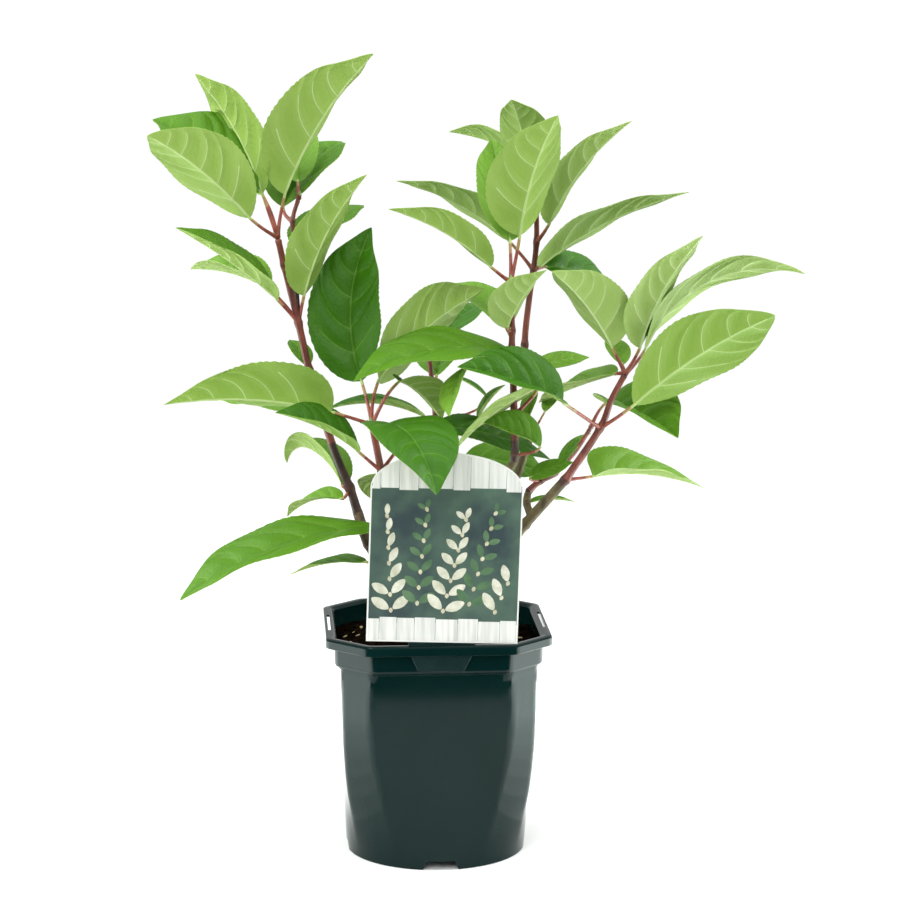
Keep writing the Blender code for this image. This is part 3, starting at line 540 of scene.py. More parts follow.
class Path:
    """A curve with frames that don't twist, read by its share of the length."""

    def __init__(self, points):
        self.points = np.array([tuple(p) for p in points])
        steps = np.linalg.norm(np.diff(self.points, axis=0), axis=1)
        self.length = steps.sum()
        self.shares = np.concatenate(([0], np.cumsum(steps))) / self.length
        ways = np.gradient(self.points, self.shares, axis=0)
        self.ways = ways / np.linalg.norm(ways, axis=1)[:, None]
        side = np.cross(self.ways[0], (0.3, 0.9, 0.1))
        sides = []
        for way in self.ways:
            side = side - way * side.dot(way)
            side = side / np.linalg.norm(side)
            sides.append(side)
        self.sides = np.array(sides)

    def share_of(self, point):
        """The share of the length that lies nearest to a point."""
        return self.shares[np.linalg.norm(self.points - np.array(tuple(point)), axis=1).argmin()]


def bend_rod(blank, name, path, width, relief=None):
    """A copy of the straight rod laid along a path. width gives its radius by share of the
    length, and relief adds to it by share, turn and place."""
    piece = copy_of(blank, name)
    rod = points_of(piece)
    shares = np.clip(rod[:, 2], 0, 1)
    middle, way, side = (read_rows(shares, path.shares, table)
                         for table in (path.points, path.ways, path.sides))
    up = np.cross(way, side)
    reach = width(shares)
    if relief is not None:
        reach = reach + relief(shares, np.arctan2(rod[:, 1], rod[:, 0]), middle)
    set_points(piece, middle + (side * rod[:, :1] + up * rod[:, 1:2]) * reach[:, None])
    return piece


def ring_marks(piece, blank, rule):
    """Gives the bent rod's faces the slot that rule returns for their share of the length."""
    mark_faces(piece, rule(face_middles(blank)[:, 2]))


# ---- pot

def ring_reach(turns, flat, corner, sharp, circle=0.0):
    """How far a square ring with cut, softened corners reaches in each direction. circle
    blends it into a round one."""
    total = np.zeros_like(turns)
    for k in range(8):
        facing = np.cos(turns - k * pi / 4)
        total += (np.maximum(facing, 1e-6) / (flat if k % 2 == 0 else corner)) ** sharp
    return total ** (-1 / sharp) * (1 - circle) + flat * circle


def pot_rings():
    """Each ring of the pot's skin, from under its base up the outside and down inside: round
    ones (height, radius), body sections (height, inset) and cut-cornered ones (height, flats,
    corners)."""
    channel, skirt = POT_HEIGHT - WALL, POT_HEIGHT - RIM_DROP
    ledge, ledge_corner = RIM_HALF - LEDGE, RIM_CORNER - LEDGE
    body = [4 + k * 5.22 for k in range(26)]
    base = [(0, 0.01), (0, DISC_RADIUS - 1), (0.5, DISC_RADIUS), (FLOOR_RISE, DISC_RADIUS + 3),
            (FLOOR_RISE, FOOT_RADIUS - WALL - 0.4), (0.4, FOOT_RADIUS - WALL),
            (0, FOOT_RADIUS - WALL + 0.4), (0, FOOT_RADIUS - 0.4), (0.4, FOOT_RADIUS)]
    rim = [(BAND_FOOT - 1.2, BAND_HALF - 2.6, 79.1), (BAND_FOOT - 0.4, BAND_HALF - 0.5, 79.9),
           (BAND_FOOT + 0.5, BAND_HALF, BAND_CORNER), (BAND_FOOT + 1.1, BAND_HALF, BAND_CORNER),
           (channel - 1.6, BAND_HALF + 0.1, BAND_TOP_CORNER), (channel - 1, BAND_HALF + 0.1, BAND_TOP_CORNER),
           (channel, BAND_HALF + 0.8, 82.0), (channel, RIM_HALF - WALL, RIM_CORNER - WALL),
           (skirt, RIM_HALF - WALL, RIM_CORNER - WALL), (skirt, RIM_HALF - 0.4, RIM_CORNER - 0.4),
           (skirt + 0.4, RIM_HALF, RIM_CORNER), (skirt + 0.9, RIM_HALF, RIM_CORNER),
           (POT_HEIGHT - 1.7, RIM_HALF, RIM_CORNER), (POT_HEIGHT - 1.2, RIM_HALF, RIM_CORNER),
           (POT_HEIGHT - 0.4, RIM_HALF - 0.3, RIM_CORNER - 0.3),
           (POT_HEIGHT, RIM_HALF - 1.1, RIM_CORNER - 1.1), (POT_HEIGHT, ledge + 0.4, ledge_corner + 0.4),
           (POT_HEIGHT - 0.4, ledge - 0.3, ledge_corner - 0.3),
           (POT_HEIGHT - 2, BAND_HALF - WALL, BAND_TOP_CORNER - WALL),
           (BAND_FOOT - 1, BAND_HALF - WALL, BAND_CORNER - WALL)]
    floor = [(FLOOR_RISE + WALL, FOOT_RADIUS - WALL - 0.5), (FLOOR_RISE + WALL, DISC_RADIUS + 2.4),
             (WALL, DISC_RADIUS - 0.6), (WALL, 0.01)]
    return ([("round", *row) for row in base] + [("body", height, 0.0) for height in body]
            + [("ring", *row) for row in rim]
            + [("body", height - 1.5, WALL) for height in reversed(body) if height > 20]
            + [("round", *row) for row in floor])


def ring_points(ring, turns):
    kind, height, *sizes = ring
    if kind == "round":
        reach = np.full_like(turns, sizes[0])
    elif kind == "ring":
        reach = ring_reach(turns, *sizes, 150)
    else:
        heights, *columns = zip(*BODY)
        flat, corner, circle, crisp = (float(np.interp(height, heights, column)) for column in columns)
        reach = ring_reach(turns, flat - sizes[0], corner - sizes[0], crisp, circle)
    return np.stack([reach * np.cos(turns), reach * np.sin(turns), np.full_like(turns, height)], 1) * MM


def cut_with(piece, size, at, quarter, top=1.0):
    """Cuts a box out of the piece. The box's upper end is narrower along X by top."""
    pick()
    bpy.ops.mesh.primitive_cube_add(size=1)
    cutter = bpy.context.object
    points = points_of(cutter)
    points[points[:, 2] > 0, 0] *= top
    points = (points * np.array(size) + np.array(at)) * MM
    turned = Matrix.Rotation(quarter * pi / 2, 3, "Z")
    set_points(cutter, [turned @ Vector(p) for p in points])
    apply_modifier(piece, "cut", "BOOLEAN", operation="DIFFERENCE", object=cutter, solver="EXACT")
    discard(cutter)


def make_pot(finishes):
    rings = pot_rings()
    pot = flat_sheet("pot_shell", POT_SIDES, len(rings) - 1)
    sheet = points_of(pot)
    rows = np.rint(sheet[:, 1] * (len(rings) - 1)).astype(int)
    turns = np.rint(sheet[:, 0] * POT_SIDES) / POT_SIDES * 2 * pi
    placed = np.zeros_like(sheet)
    for i, ring in enumerate(rings):
        placed[rows == i] = ring_points(ring, turns[rows == i])
    set_points(pot, placed)
    merge_points(pot, 0.00003, True)
    for quarter in range(4):
        cut_with(pot, SLOT, (0, LABEL_Y, POT_HEIGHT - 0.5), quarter)
        cut_with(pot, (NOTCH[1], 6.0, NOTCH[2] * 2), (0, -FOOT_RADIUS - 0.2, 0), quarter,
                 NOTCH[0] * 2 / NOTCH[1] - 1)
    smooth(pot, 32)
    dress(pot, finishes["pot"])
    seat(pot, "pot_plastic", "pot")


# ---- soil

def soil_height(x, y):
    """Height of the soil in metres, lower at the wall and lumpy all over."""
    reach = sqrt(x * x + y * y) / 0.07
    lumps = noise.noise(Vector((x * 90, y * 90, 1.5))) * 0.0016
    return (SOIL_TOP - 1.6 * reach ** 3) * MM + (lumps + noise.noise(Vector((x * 260, y * 260, 7))) * 0.0009)


def make_soil(finishes, rng):
    columns, rows = 160, 46
    soil = flat_sheet("soil_bed", columns, rows)
    sheet = points_of(soil)
    turns = np.rint(sheet[:, 0] * columns) / columns * 2 * pi
    outer = ring_reach(turns, BAND_HALF - WALL - 0.1, BAND_CORNER - WALL - 0.1, 70)
    reach = np.maximum(sheet[:, 1], 0.0005) * outer * MM
    x, y = reach * np.cos(turns), reach * np.sin(turns)
    heights = np.array([soil_height(a, b) for a, b in zip(x, y)])
    set_points(soil, np.stack([x, y, heights], 1))
    merge_points(soil, 0.00004, True)
    thicken(soil, 0.006, -1)
    smooth(soil)
    # The soil's near-black colour is partly painted shade.
    dress(soil, finishes["soil"])
    seat(soil, "soil", "potting_soil")
    pick()
    bpy.ops.mesh.primitive_ico_sphere_add(subdivisions=2, radius=1)
    lump = bpy.context.object
    lump.name = "crumb"
    shape = points_of(lump)
    dents = np.array([1 + 0.45 * noise.noise(Vector(p) * 1.7) for p in shape])
    set_points(lump, shape * dents[:, None])
    crumbs = []
    for i in range(CRUMBS):
        turn, out = rng.uniform(0, 2 * pi), sqrt(rng.uniform(0.02, 0.93))
        x, y = SOIL_REACH * MM * out * cos(turn), SOIL_REACH * MM * out * sin(turn)
        chip = i % CHIP_EVERY == 0
        size = rng.uniform(0.0005, 0.0012) if chip else rng.uniform(0.0006, 0.0021)
        scale = Matrix.Diagonal((size * (2.6 if chip else 1.2), size, size * (0.5 if chip else 0.8), 1))
        spin = Matrix.Rotation(rng.uniform(0, 2 * pi), 4, "Z")
        spin = spin @ Matrix.Rotation(rng.uniform(-0.6, 0.6), 4, "X")
        crumb = copy_of(lump, "crumb")
        crumb.data.transform(Matrix.Translation((x, y, soil_height(x, y) + size * 0.3)) @ spin @ scale)
        dress(crumb, finishes["crumb"], finishes["chip"])
        mark_faces(crumb, np.full(len(crumb.data.polygons), int(chip)))
        crumbs.append(crumb)
    discard(lump)
    bed = join("soil_crumbs", crumbs)
    smooth(bed, 50)
    seat(bed, "soil", "potting_soil")


# ---- label

def on_label(x, z, proud=0.0):
    """A place on the label's front, in metres, from its own width and height in millimetres."""
    lean = radians(LABEL_LEAN)
    return Vector((x * cos(lean) + z * sin(lean), LABEL_Y - LABEL_THICK / 2 - proud,
                   LABEL_FOOT + z * cos(lean) - x * sin(lean))) * MM


def arch(x, inset=0.0):
    """Height of the label's top edge above its foot at x."""
    share = min(1.0, abs(x) / (LABEL_SIZE[0] / 2 - inset))
    return LABEL_SIZE[1] + (LABEL_ARCH - inset) * sqrt(1 - share * share)


def upright_strip(name, left, right, low, high, proud, thick, columns=8):
    """A thin strip on the label between low(x) and high(x)."""
    strip = flat_sheet(name, columns, 1)
    placed = []
    for u, v, _ in points_of(strip):
        x = left + (right - left) * u
        placed.append(on_label(x, low(x) + (high(x) - low(x)) * v, proud))
    set_points(strip, placed)
    thicken(strip, thick * MM, 1)
    return strip


def seat_on_label(piece, *finishes):
    dress(piece, *finishes)
    seat(piece, "label_board", "plant_label")


def make_label(finishes, rng):
    half, steps = LABEL_SIZE[0] / 2, 48
    foot, top = PICTURE
    board = flat_sheet("label_board", steps, 12)
    placed = []
    for u, v, _ in points_of(board):
        x = -half * cos(pi * round(u * steps) / steps)
        placed.append(on_label(x, arch(x) * v, -LABEL_THICK))
    set_points(board, placed)
    tongue = flat_sheet("label_tongue", 6, 10)
    placed = []
    for u, v, _ in points_of(tongue):
        drop = (1 - v) * TONGUE[2]
        share = min(1.0, (TONGUE[2] - drop) / (TONGUE[2] - TONGUE_NECK))
        width = TONGUE[1] + (TONGUE[0] - TONGUE[1]) * share
        placed.append(on_label((u - 0.5) * width, -drop + 0.02, -LABEL_THICK))
    set_points(tongue, placed)
    for piece in (board, tongue):
        thicken(piece, LABEL_THICK * MM, 1)
        apply_modifier(piece, "edge", "BEVEL", width=0.00015, segments=2, limit_method="ANGLE",
                       angle_limit=0.9)
    seat_on_label(board, finishes["board"])
    seat_on_label(tongue, finishes["board"], finishes["tongue"])
    # Painted shade: the tongue's front faces take the dark finish, and its back and edges take the board's.
    mark_faces(tongue, face_middles(tongue)[:, 1] < (LABEL_Y - LABEL_THICK * 0.5 + 0.1) * MM)
    panel = upright_strip("label_picture", -half + 1.0, half - 1.0, lambda x: foot - 2.5, lambda x: top + 3.0,
                          0.0, 0.08, 40)
    seat_on_label(panel, finishes["dusk"])
    planks = []
    for band in ("top", "foot"):
        left, width = -half + 1.0, PLANK * rng.uniform(0.3, 0.6)
        while left < half - 1.5:
            right = min(left + width, half - 1.0)
            end = (top if band == "top" else foot) + rng.uniform(-1.6, 1.6)
            low, high = ((lambda x: end), (lambda x: arch(x, 1.0))) if band == "top" else (
                (lambda x: 1.0), (lambda x: end))
            planks.append(upright_strip("plank", left, right - 0.35, low, high, 0.08, 0.14))
            left, width = right, PLANK * rng.uniform(0.82, 1.12)
    seat_on_label(join("label_planks", planks), finishes["plank"])
    seams = [upright_strip("seam", -half + 1.2, half - 1.2, low, high, 0.02, 0.08, columns)
             for low, high, columns in ((lambda x: top + 2.0, lambda x: arch(x, 1.6), 24),
                                        (lambda x: 1.3, lambda x: foot - 2.0, 4))]
    seat_on_label(join("label_seams", seams), finishes["seam"])
    make_sprigs(finishes)


def oval(at, length, width, turn, proud):
    """A flat pointed oval on the label: a disc whose ends are drawn out."""
    pick()
    bpy.ops.mesh.primitive_circle_add(vertices=14, radius=1, fill_type="NGON")
    piece = bpy.context.object
    piece.name = "oval"
    placed = []
    for x, y, _ in points_of(piece):
        long, wide = x * length / 2, y * width / 2 * (1 - 0.35 * x * x)
        placed.append(on_label(at[0] + long * cos(turn) - wide * sin(turn),
                               at[1] + long * sin(turn) + wide * cos(turn), proud))
    set_points(piece, placed)
    thicken(piece, 0.00005, 1)
    return piece


def make_sprigs(finishes):
    """A plain leafy pattern: curved sprigs with paired ovals, pale ones between green ones."""
    half, (foot, top) = LABEL_SIZE[0] / 2, PICTURE
    ovals, kinds = [], []
    for sprig in range(SPRIGS):
        start = Vector((-34 + 17 * sprig, foot + 6 + 5 * (sprig % 2)))
        lean = radians(78 + 8 * (2 - sprig) + 6 * (sprig > 2))
        pale = sprig % 2 == 0
        for step in range(SPRIG_STEPS):
            share = step / (SPRIG_STEPS - 1)
            turn = lean + 0.5 * share * (1 if sprig < 2.5 else -1)
            at = start + Vector((cos(lean), sin(lean))) * (top - foot) * 0.72 * share
            for side in (-1, 1):
                away = turn + side * (0.95 - 0.35 * share)
                length = (13.5 if pale else 11.5) * (1 - 0.45 * share)
                spot = at + Vector((cos(away), sin(away))) * length * 0.62
                if abs(spot.x) < half - 8 and foot + 4 < spot.y < top - 4:
                    kinds.append("sprig_pale" if pale else "sprig_leaf")
                    ovals.append(oval(spot, length, length * 0.5, away, 0.09 + 0.03 * len(ovals) / 90))
            if abs(at.x) < half - 4 and at.y < top - 3:
                kinds.append("sprig_warm")
                ovals.append(oval(at, 3.4, 2.6, turn, 0.16))
    for piece, kind in zip(ovals, kinds):
        dress(piece, finishes[kind])
    seat(join("label_pattern", ovals), "label_board", "plant_label")


# ---- trunk and boughs

def bark_relief(depth):
    """Ridges that run along the limb, with flakes and knots across them."""
    def relief(shares, turns, middle):
        found = []
        for turn, at in zip(turns, middle):
            ridge = noise.noise(Vector((cos(turn) * 2.4, sin(turn) * 2.4, at[2] * 60)))
            flake = noise.noise(Vector((cos(turn) * 4.5 + 9, sin(turn) * 4.5, at[2] * 420)))
            found.append((ridge * 0.65 + flake * 0.5) * depth * MM)
        return np.array(found)
    return relief


def make_trunk(finishes):
    rod = straight_rod("trunk_blank", 40, 60)
    heights, radii = np.array(TRUNK_RADII, float).T
    total, steps = heights[-1], 20
    path = Path([(TRUNK_LEAN[0] * MM * k / steps, TRUNK_LEAN[1] * MM * k / steps,
                  (TRUNK_FOOT - 1.0 + (total + 1.0) * k / steps) * MM) for k in range(steps + 1)])
    grain = bark_relief(0.7)

    def lobes(shares, turns, middle):
        flare = np.clip(1 - shares * total / 10, 0, 1)
        return grain(shares, turns, middle) + radii[0] * 0.12 * flare * np.cos(4 * turns + 0.6) * MM

    trunk = bend_rod(rod, "trunk_bark", path, lambda s: np.interp(s * total, heights, radii) * MM, lobes)
    discard(rod)
    smooth(trunk)
    dress(trunk, finishes["bark"])
    seat(trunk, "old_wood", "trunk")


def bough_path(name, made):
    """The bough's points in metres and the way it sets out. It starts clear of its parent."""
    parent, share, knots, _ = BOUGHS[name]
    first = vec(knots[0])
    if parent == "trunk":
        middle = vec((TRUNK_LEAN[0] * 0.7, TRUNK_LEAN[1] * 0.7, TRUNK_FOOT + KNUCKLE_RISE))
        heading = (first - middle).normalized()
        foot = middle + heading * (KNUCKLE_RADIUS + CLEAR) * MM
    else:
        points, parent_radii = made[parent]
        place = share * (len(points) - 1)
        i = int(place)
        origin = points[i].lerp(points[i + 1], place - i)
        tangent = (points[i + 1] - points[i]).normalized()
        heading = (first - origin).normalized()
        thick = (parent_radii[0] + (parent_radii[1] - parent_radii[0]) * share) * MM
        foot = origin + heading * (thick + CLEAR * MM) / sin(heading.angle(tangent))
    return along([foot, *(vec(k) for k in knots)]), heading


def make_boughs(finishes):
    rod = straight_rod("bough_blank", 22, 70)
    made = {}
    for name, (_, _, knots, radii) in BOUGHS.items():
        points, heading = bough_path(name, made)
        made[name] = (points, radii)
        path = Path([points[0] - heading * 0.0035, *points])
        scars = [path.share_of(vec(k)) for k in knots[:-1]]

        def width(shares):
            plain = radii[0] + (radii[1] - radii[0]) * shares
            for scar in scars:
                plain = plain * (1 + 0.16 * np.exp(-((shares - scar) * path.length / 0.0022) ** 2))
            return plain * (1 + 0.22 * np.exp(-shares * path.length / 0.004)) * MM

        bark = bend_rod(rod, name + "_bark", path, width, bark_relief(0.45))
        dress(bark, finishes["bark_pale" if name in PALE_BARK else "bark"], finishes["node"])
        ring_marks(bark, rod, lambda s: sum((np.abs(s - scar) * path.length < 0.0005).astype(int)
                                            for scar in scars))
        smooth(bark)
        seat(bark, "old_wood", name)
    discard(rod)
    return made


# ---- leaves

def blade_blank():
    """A flat blade: X counts the side veins from base to tip, Y runs from margin to margin."""
    blank = flat_sheet("blade_blank", len(ROWS) - 1, len(COLUMNS) - 1)
    sheet = points_of(blank)
    rows = np.rint(sheet[:, 0] * (len(ROWS) - 1)).astype(int)
    columns = np.rint(sheet[:, 1] * (len(COLUMNS) - 1)).astype(int)
    sheet[:, 0] = np.array(ROWS)[rows]
    sheet[:, 1] = np.array(COLUMNS)[columns]
    sheet[(rows == 0) | (rows == len(ROWS) - 1), 1] = 0
    set_points(blank, sheet)
    merge_points(blank, 0.0005)
    return blank


def blade_parts(middles):
    """The part of the palette for each face: 3 on the ribs, 1 beside them, 2 midway between. Part 2 is
    painted shade between the veins; part 1 is partly the leaf's own paler colour and partly painted light.
    """
    count, across = middles[:, 0], np.abs(middles[:, 1])
    vein = np.rint(count)
    off = np.abs(count - vein)
    branch = (off < VEIN_HALF) & (vein > 0.5) & (vein < VEINS + 0.5) & (across < 0.8)
    rib = (across < 0.03) & (count < VEINS + 0.7)
    # Painted shade: faces midway between the veins take the darker colour.
    dark = (off > 0.3) & (across > 0.1) & (across < 0.8) & (count < VEINS)
    # Partly painted light: faces beside the veins take the paler colour, which is partly the leaf's own.
    light = (off < 0.12) & (count < VEINS + 0.2)
    return np.where(branch | rib, 3, np.where(dark, 2, np.where(light, 1, 0)))


def profile(t, peak):
    """Half the blade's width at t, as a part of its greatest half width."""
    t = np.clip(t, 0, 1)
    plain = (t / peak) ** (peak * 1.5) * ((1 - t) / (1 - peak)) ** ((1 - peak) * 1.5)
    tip = np.clip((t - 0.74) / 0.2, 0, 1)
    return plain * (1 - 0.22 * tip * tip * (3 - 2 * tip))


def rib_frames(base, shape, fine=60):
    """Shares, points, headings and side directions along the leaf's middle rib."""
    heading = np.array(direction(shape["azimuth"], shape["rise"]))
    up = np.array(direction(shape["azimuth"], shape["rise"] + 90))
    side = np.cross(up, heading)
    roll = radians(shape["roll"])
    up, side = up * cos(roll) + side * sin(roll), side * cos(roll) - up * sin(roll)

    def heads(t):
        bend = radians(shape["droop"]) * (0.5 - t)
        bend = bend - radians(shape["curl"]) * 3 * np.maximum(0, t - 0.6) ** 1.5
        turn = radians(shape["sweep"]) * (0.5 - t)
        forward = heading * np.cos(bend)[:, None] + up * np.sin(bend)[:, None]
        return forward * np.cos(turn)[:, None] + side * np.sin(turn)[:, None]

    steps = heads((np.arange(fine) + 0.5) / fine) * (shape["length"] * MM / fine)
    points = np.concatenate((np.zeros((1, 3)), np.cumsum(steps, 0))) + np.array(base)
    shares = np.arange(fine + 1) / fine
    ways = heads(shares)
    across = side - ways * (ways @ side)[:, None]
    across /= np.linalg.norm(across, axis=1)[:, None]
    return shares, points, ways, across


def make_blade(blank, pattern, base, shape, rng):
    """A blade with quilted skin between sunk veins, a finely toothed margin and a drawn-out tip."""
    piece = copy_of(blank, "blade")
    count, across, _ = pattern
    length = shape["length"] * MM
    size = length / 0.1
    out = np.abs(across)
    phase = rng.uniform(0, 2 * pi)
    # t is the share of the rib's length: each side vein leaves the rib at root and sweeps forward
    root = (count / (VEINS + 1)) ** 0.95
    root = root + 0.022 * np.sin(count * 2.1 + phase + np.sign(across) * 0.9) * np.sin(pi * root)
    lead = np.clip(count / 1.7, 0, 1)
    sweep = 0.5 * lead * lead * (3 - 2 * lead)
    t = root + (1 - root) * sweep * (0.35 * out + 0.65 * out ** 2.2)
    plump = profile(t, shape["peak"])
    width = length * shape["width"] / 2 * plump
    tooth = (np.searchsorted(ROWS, count - 1e-4) % 2) * (out > 0.99) * np.clip(width / 0.006, 0, 1)
    tooth = tooth * np.clip((0.88 - t) / 0.3, 0, 1)
    t = np.clip(t + tooth * 0.002, 0, 1)
    # Across: a rib of even width, then the blade out to the margin
    rib = (0.00085 - 0.0006 * t) * min(1.0, size)
    share = np.minimum(rib / np.maximum(width, 1e-6), 0.3)
    edge = HALF_COLUMNS[1]
    inner = np.where(out < edge * 0.5, 0, share)
    spread = inner + (1 - share) * np.clip((out - edge) / (1 - edge), 0, 1)
    x = np.sign(across) * (spread * width + tooth * TOOTH * size)
    # Relief: quilted between the veins, with fine rungs, a sunk rib and a wavy margin
    off = np.abs(count - np.rint(count))
    pillow = np.sin(pi * np.clip(off, 0, 0.5)) ** 0.8
    inside = np.sin(pi * np.clip(spread, 0, 1)) ** 0.6
    quilt = QUILT * size * (pillow - 0.4) * inside * np.clip(plump / 0.6, 0, 1) ** 2
    rungs = RUNGS * size * np.sin(across * 46 + phase + 2.2 * np.sin(count * 5 + phase)) * inside * pillow
    rungs = rungs * np.clip(width / 0.02, 0, 1) ** 2
    groove = -GROOVE * size * np.exp(-(spread * width / 0.0011) ** 2)
    wave = WAVE * size * np.sin(2 * pi * 2.3 * t + phase + (across > 0) * 2.1) * out ** 3
    wave = wave * np.clip(width / 0.02, 0, 1)
    lean = LEAN * size * np.sin(pi * 1.3 * t + phase * 2) * np.clip(width / 0.014, 0, 1)
    arching = 0.02 * width * np.sin(pi * np.clip(spread, 0, 1))
    rise = (quilt + rungs + groove + wave + arching) * np.clip(width / 0.01, 0, 1) + lean * spread
    shares, *tables = rib_frames(base, shape)
    middle, way, side = (read_rows(t, shares, table) for table in tables)
    up = np.cross(way, side)
    fold = radians(shape["fold"])
    sideways = x * cos(fold) - rise * np.sign(across) * sin(fold)
    upwards = np.abs(x) * sin(fold) + rise * cos(fold)
    set_points(piece, middle + side * sideways[:, None] + up * upwards[:, None])
    return piece


def behind_leaves(shoot, rng):
    """A pair of leaves at each named knot, spread to both sides of straight back. Only those
    that find room between the others, numbered in the shoot's list, are kept."""
    made = []
    for knot in shoot["behind"]:
        for side in (-1, 1):
            azimuth = BEHIND["azimuth"] + side * rng.uniform(*BEHIND["spread"])
            made.append(leaf(knot, azimuth, rng.uniform(*BEHIND["rise"]),
                             rng.uniform(*BEHIND["length"]), stalk=rng.uniform(14, 22),
                             width=rng.uniform(*BEHIND["width"]), fold=rng.uniform(12, 24),
                             roll=rng.uniform(-10, 10), droop=rng.uniform(25, 50)))
    return [made[i] for i in shoot.get("room", ())]


# ---- shoots

def bend_stem(rod, points, radii, first, scars_at, old):
    """A green shoot, thicker at its leaf scars and rounded at its tip."""
    path = Path(points)
    scars = [path.share_of(k) for k in scars_at]

    def width(shares):
        plain = radii[0] + (radii[1] - radii[0]) * shares
        plain = plain + (first - radii[0]) * np.exp(-shares * path.length / 0.006)
        for scar in scars:
            plain = plain * (1 + 0.3 * np.exp(-((shares - scar) * path.length / 0.0026) ** 2))
        tip = np.clip((1 - shares) * path.length / 0.002, 0, 1)
        return plain * (0.35 + 0.65 * np.sqrt(tip)) * MM

    def colours(shares):
        slots = np.where(shares < old, OLD, RED)
        for scar in scars:
            slots = np.where(np.abs(shares - scar) * path.length < 0.0007, SCAR, slots)
        return slots

    stem = bend_rod(rod, "stem", path, width, bark_relief(0.12))
    ring_marks(stem, rod, colours)
    return stem


def bend_bud(rod, foot, tip, reach, blunt, scales):
    """A bud from foot to tip, green beyond its scales."""
    bud = bend_rod(rod, "bud", Path([foot, tip]),
                   lambda s: reach * np.sin(pi * np.clip(s, blunt, 0.985) ** 0.8))
    ring_marks(bud, rod, lambda s: np.where(s > (0.5 if scales == RED else 0.45), GREEN, scales))
    return bud


def bend_stalk(rod, node, base, shape, steps=12):
    """A leaf's stalk, bowed a little from the node to the blade's base, red and then green."""
    lead = direction(*shape["stalk_to"])
    reach = shape["stalk"] * MM
    blade = Vector(rib_frames(base, shape)[2][0])
    points = [node + lead * reach * k / steps - (blade - lead) * reach * 0.12 * sin(pi * k / steps)
              for k in range(steps + 1)]
    path = Path([*points, points[-1] + blade * 0.0025])
    slender = min(1.0, 0.55 + shape["length"] / 150)

    def width(shares):
        plain = 1.28 - 0.28 * shares + 0.75 * np.exp(-shares * path.length / 0.003)
        return plain * slender * (1 - 0.75 * np.clip((shares - 0.93) / 0.07, 0, 1)) * MM

    stalk = bend_rod(rod, "stalk", path, width)
    ring_marks(stalk, rod, lambda s: np.where(s < 0.62, STALK, np.where(s < 0.84, STALK_MID, STALK_GREEN)))
    return stalk


def make_shoot(name, shoot, boughs, blanks, pattern, rng, detail):
    knots = [vec(k) for k in shoot["stem"]]
    bough, bough_radii = boughs[shoot["bough"]]
    heading = (bough[-1] - bough[-2]).normalized()
    stems = [([bough[-1] - heading * 0.0015, *along(knots)], shoot["radii"], bough_radii[1], knots)]
    leaves = [(knots[shape["knot"]], shape) for shape in shoot["leaves"]]
    if "twig" in shoot:
        twig = shoot["twig"]
        twig_knots = [knots[twig["leaves_at"]], *(vec(k) for k in twig["stem"])]
        stems.append((along(twig_knots), twig["radii"], twig["radii"][0], twig_knots[1:]))
        leaves += [(vec(twig["stem"][shape["knot"]]), shape) for shape in twig["leaves"]]
    leaves += [(knots[shape["knot"]], shape) for shape in behind_leaves(shoot, rng)]
    rod, thin_rod, blade = blanks
    wood, blades = [], []
    for points, radii, first, stem_knots in stems:
        scars_at = [k for k in stem_knots if any((k - node).length < 1e-6 for node, _ in leaves)]
        wood.append(bend_stem(rod, points, radii, first, scars_at, OLD_SHARE.get(name, OLD_TRACE)))
        end = (points[-1] - points[-2]).normalized()
        foot, tip = points[-1] - end * 0.001, points[-1] + end * 0.0055
        wood.append(bend_bud(thin_rod, foot, tip, 0.0016, 0.12, RED))
    for node, shape in leaves:
        lead = direction(*shape["stalk_to"])
        base = node + lead * (shape["stalk"] * MM)
        wood.append(bend_stalk(thin_rod, node, base, shape))
        axil = node + lead * 0.0018
        bud_tip = axil + (lead + Vector((0, 0, 1.1))).normalized() * 0.0032
        wood.append(bend_bud(thin_rod, axil, bud_tip, 0.0009, 0.1, STALK))
        tone = shape["tone"] or detail.choice(SPRAY_TONES[name])
        blades.append(make_blade(blade, pattern, base, shape, detail))
        mark_faces(blades[-1], pattern[2] + 8 * TONES.index(tone))
    foliage = join(name + "_blades", blades)
    thicken(foliage, BLADE_THICK, 0, material_offset=4, material_offset_rim=4)
    smooth(foliage, 50)
    seat(foliage, "leaf", name)
    stems_piece = join(name + "_stems", wood)
    smooth(stems_piece)
    seat(stems_piece, "leaf", name)


def make_shoots(finishes, boughs):
    rng, detail = random.Random(SEED), random.Random(SEED + 5)
    blade = blade_blank()
    points = points_of(blade)
    pattern = (points[:, 0], points[:, 1], blade_parts(face_middles(blade)))
    dress(blade, *(made for tone in TONES for made in finishes[tone]))
    blanks = (straight_rod("stem_blank", 14, 90), straight_rod("stalk_blank", 8, 14), blade)
    for rod in blanks[:2]:
        dress(rod, *(finishes[part] for part in STEM_PARTS))
    for name, shoot in SHOOTS.items():
        make_shoot(name, shoot, boughs, blanks, pattern, rng, detail)
    for blank in blanks:
        discard(blank)


# ---- floor, light and camera

def make_stage():
    """A white table top: its front edge is close to the pot, its back reaches past the view."""
    floor = flat_sheet("pale_floor", 40, 40)
    sheet = points_of(floor)
    back, front, side = TABLE
    set_points(floor, np.stack([(sheet[:, 0] - 0.5) * 2 * side, -front + (front + back) * sheet[:, 1],
                                np.zeros(len(sheet))], 1))
    dress(floor, finish("pale_floor", (0.92, 0.93, 0.92), (0.94, 0.95, 0.94), 0.4, (0.9, 0.95), specular=0.1))


def soft_light(name, at, aim, size, watts):
    data = bpy.data.lights.new(name, "AREA")
    data.shape = "DISK"
    data.size = size
    data.energy = watts
    light = bpy.data.objects.new(name, data)
    bpy.context.scene.collection.objects.link(light)
    light.location = at
    light.rotation_euler = (Vector(aim) - Vector(at)).to_track_quat("-Z", "Y").to_euler()
    return light


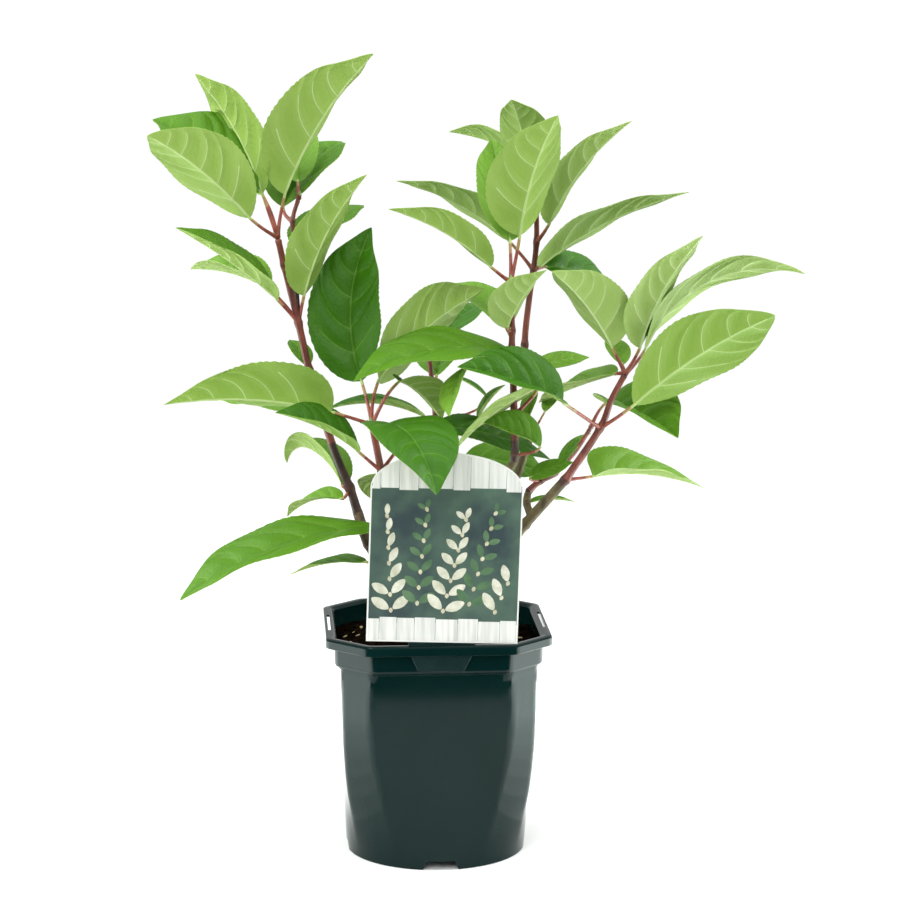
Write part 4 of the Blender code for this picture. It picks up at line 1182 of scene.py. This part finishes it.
def bright_strips(name, side, strength):
    """Strips on the table beside the pot that show in glossy surfaces alone, dim near the pot."""
    strips = list(zip(STRIP_ENDS, STRIP_ENDS[1:]))
    for number, (near, far) in enumerate(strips):
        middle = side * (near + far) / 2
        watts = strength * ((number + 1) / len(strips)) * pi * (far - near) * STRIP_DEPTH
        card = soft_light(name + "_" + str(number), (middle, 0, 0.002), (middle, 0, 1), far - near, watts)
        card.data.shape = "RECTANGLE"
        card.data.size_y = STRIP_DEPTH
        card.data.color = (0.86, 1.0, 0.95)
        card.rotation_euler = (pi, 0, 0)
        card.visible_camera = False
        card.visible_diffuse = False


def either(tree, when, plain, other):
    """The plain shader, or the other one for the rays that when picks."""
    mix = add_node(tree, "ShaderNodeMixShader", Fac=when)
    tree.links.new(plain, mix.inputs[1])
    tree.links.new(other, mix.inputs[2])
    return mix.outputs["Shader"]


def make_world():
    """Even light on the plant, a white wall behind it, and in glossy surfaces a room that is
    dark in front and below."""
    world = bpy.data.worlds.new("studio")
    world.use_nodes = True
    tree = world.node_tree
    place = add_node(tree, "ShaderNodeTexCoord").outputs["Generated"]
    split = add_node(tree, "ShaderNodeSeparateXYZ", Vector=place)
    more = tree.nodes.new("ShaderNodeMath")
    more.operation = "MAXIMUM"
    for socket, axis, start, end, darkest in zip(more.inputs, "YZ", (-0.55, -0.04), (0.35, 0.1), (0.0, 0.02)):
        share = add_node(tree, "ShaderNodeMapRange", Value=split.outputs[axis], From_Min=start,
                         From_Max=end, To_Min=darkest, To_Max=0.66)
        share.interpolation_type = "SMOOTHSTEP"
        tree.links.new(share.outputs["Result"], socket)
    room = feed(tree, tree.nodes["Background"], Color=PAPER, Strength=more.outputs["Value"])
    even = add_node(tree, "ShaderNodeBackground", Color=PAPER, Strength=0.7)
    wall = add_node(tree, "ShaderNodeBackground", Color=WHITE, Strength=1.02)
    rays = add_node(tree, "ShaderNodeLightPath").outputs
    unseen = either(tree, rays["Is Glossy Ray"], even.outputs["Background"], room.outputs["Background"])
    seen = either(tree, rays["Is Camera Ray"], unseen, wall.outputs["Background"])
    tree.links.new(seen, tree.nodes["World Output"].inputs["Surface"])
    bpy.context.scene.world = world


def make_camera():
    data = bpy.data.cameras.new("camera")
    data.lens = CAMERA_LENS
    data.sensor_width = 36
    data.clip_end = 60
    camera = bpy.data.objects.new("camera", data)
    bpy.context.scene.collection.objects.link(camera)
    camera.location = CAMERA_AT
    camera.rotation_euler = [radians(a) for a in CAMERA_TURN]
    bpy.context.scene.camera = camera
    bpy.context.scene.view_settings.view_transform = "Standard"


finishes = make_finishes()
rng = random.Random(SEED + 1)
make_pot(finishes)
make_soil(finishes, rng)
make_label(finishes, rng)
make_trunk(finishes)
make_shoots(finishes, make_boughs(finishes))
make_stage()
make_world()
for lamp in LAMPS:
    soft_light(*lamp).visible_glossy = lamp[0] != "fill"
bright_strips("card_left", -1, 4.2)
bright_strips("card_right", 1, 5.8)
make_camera()
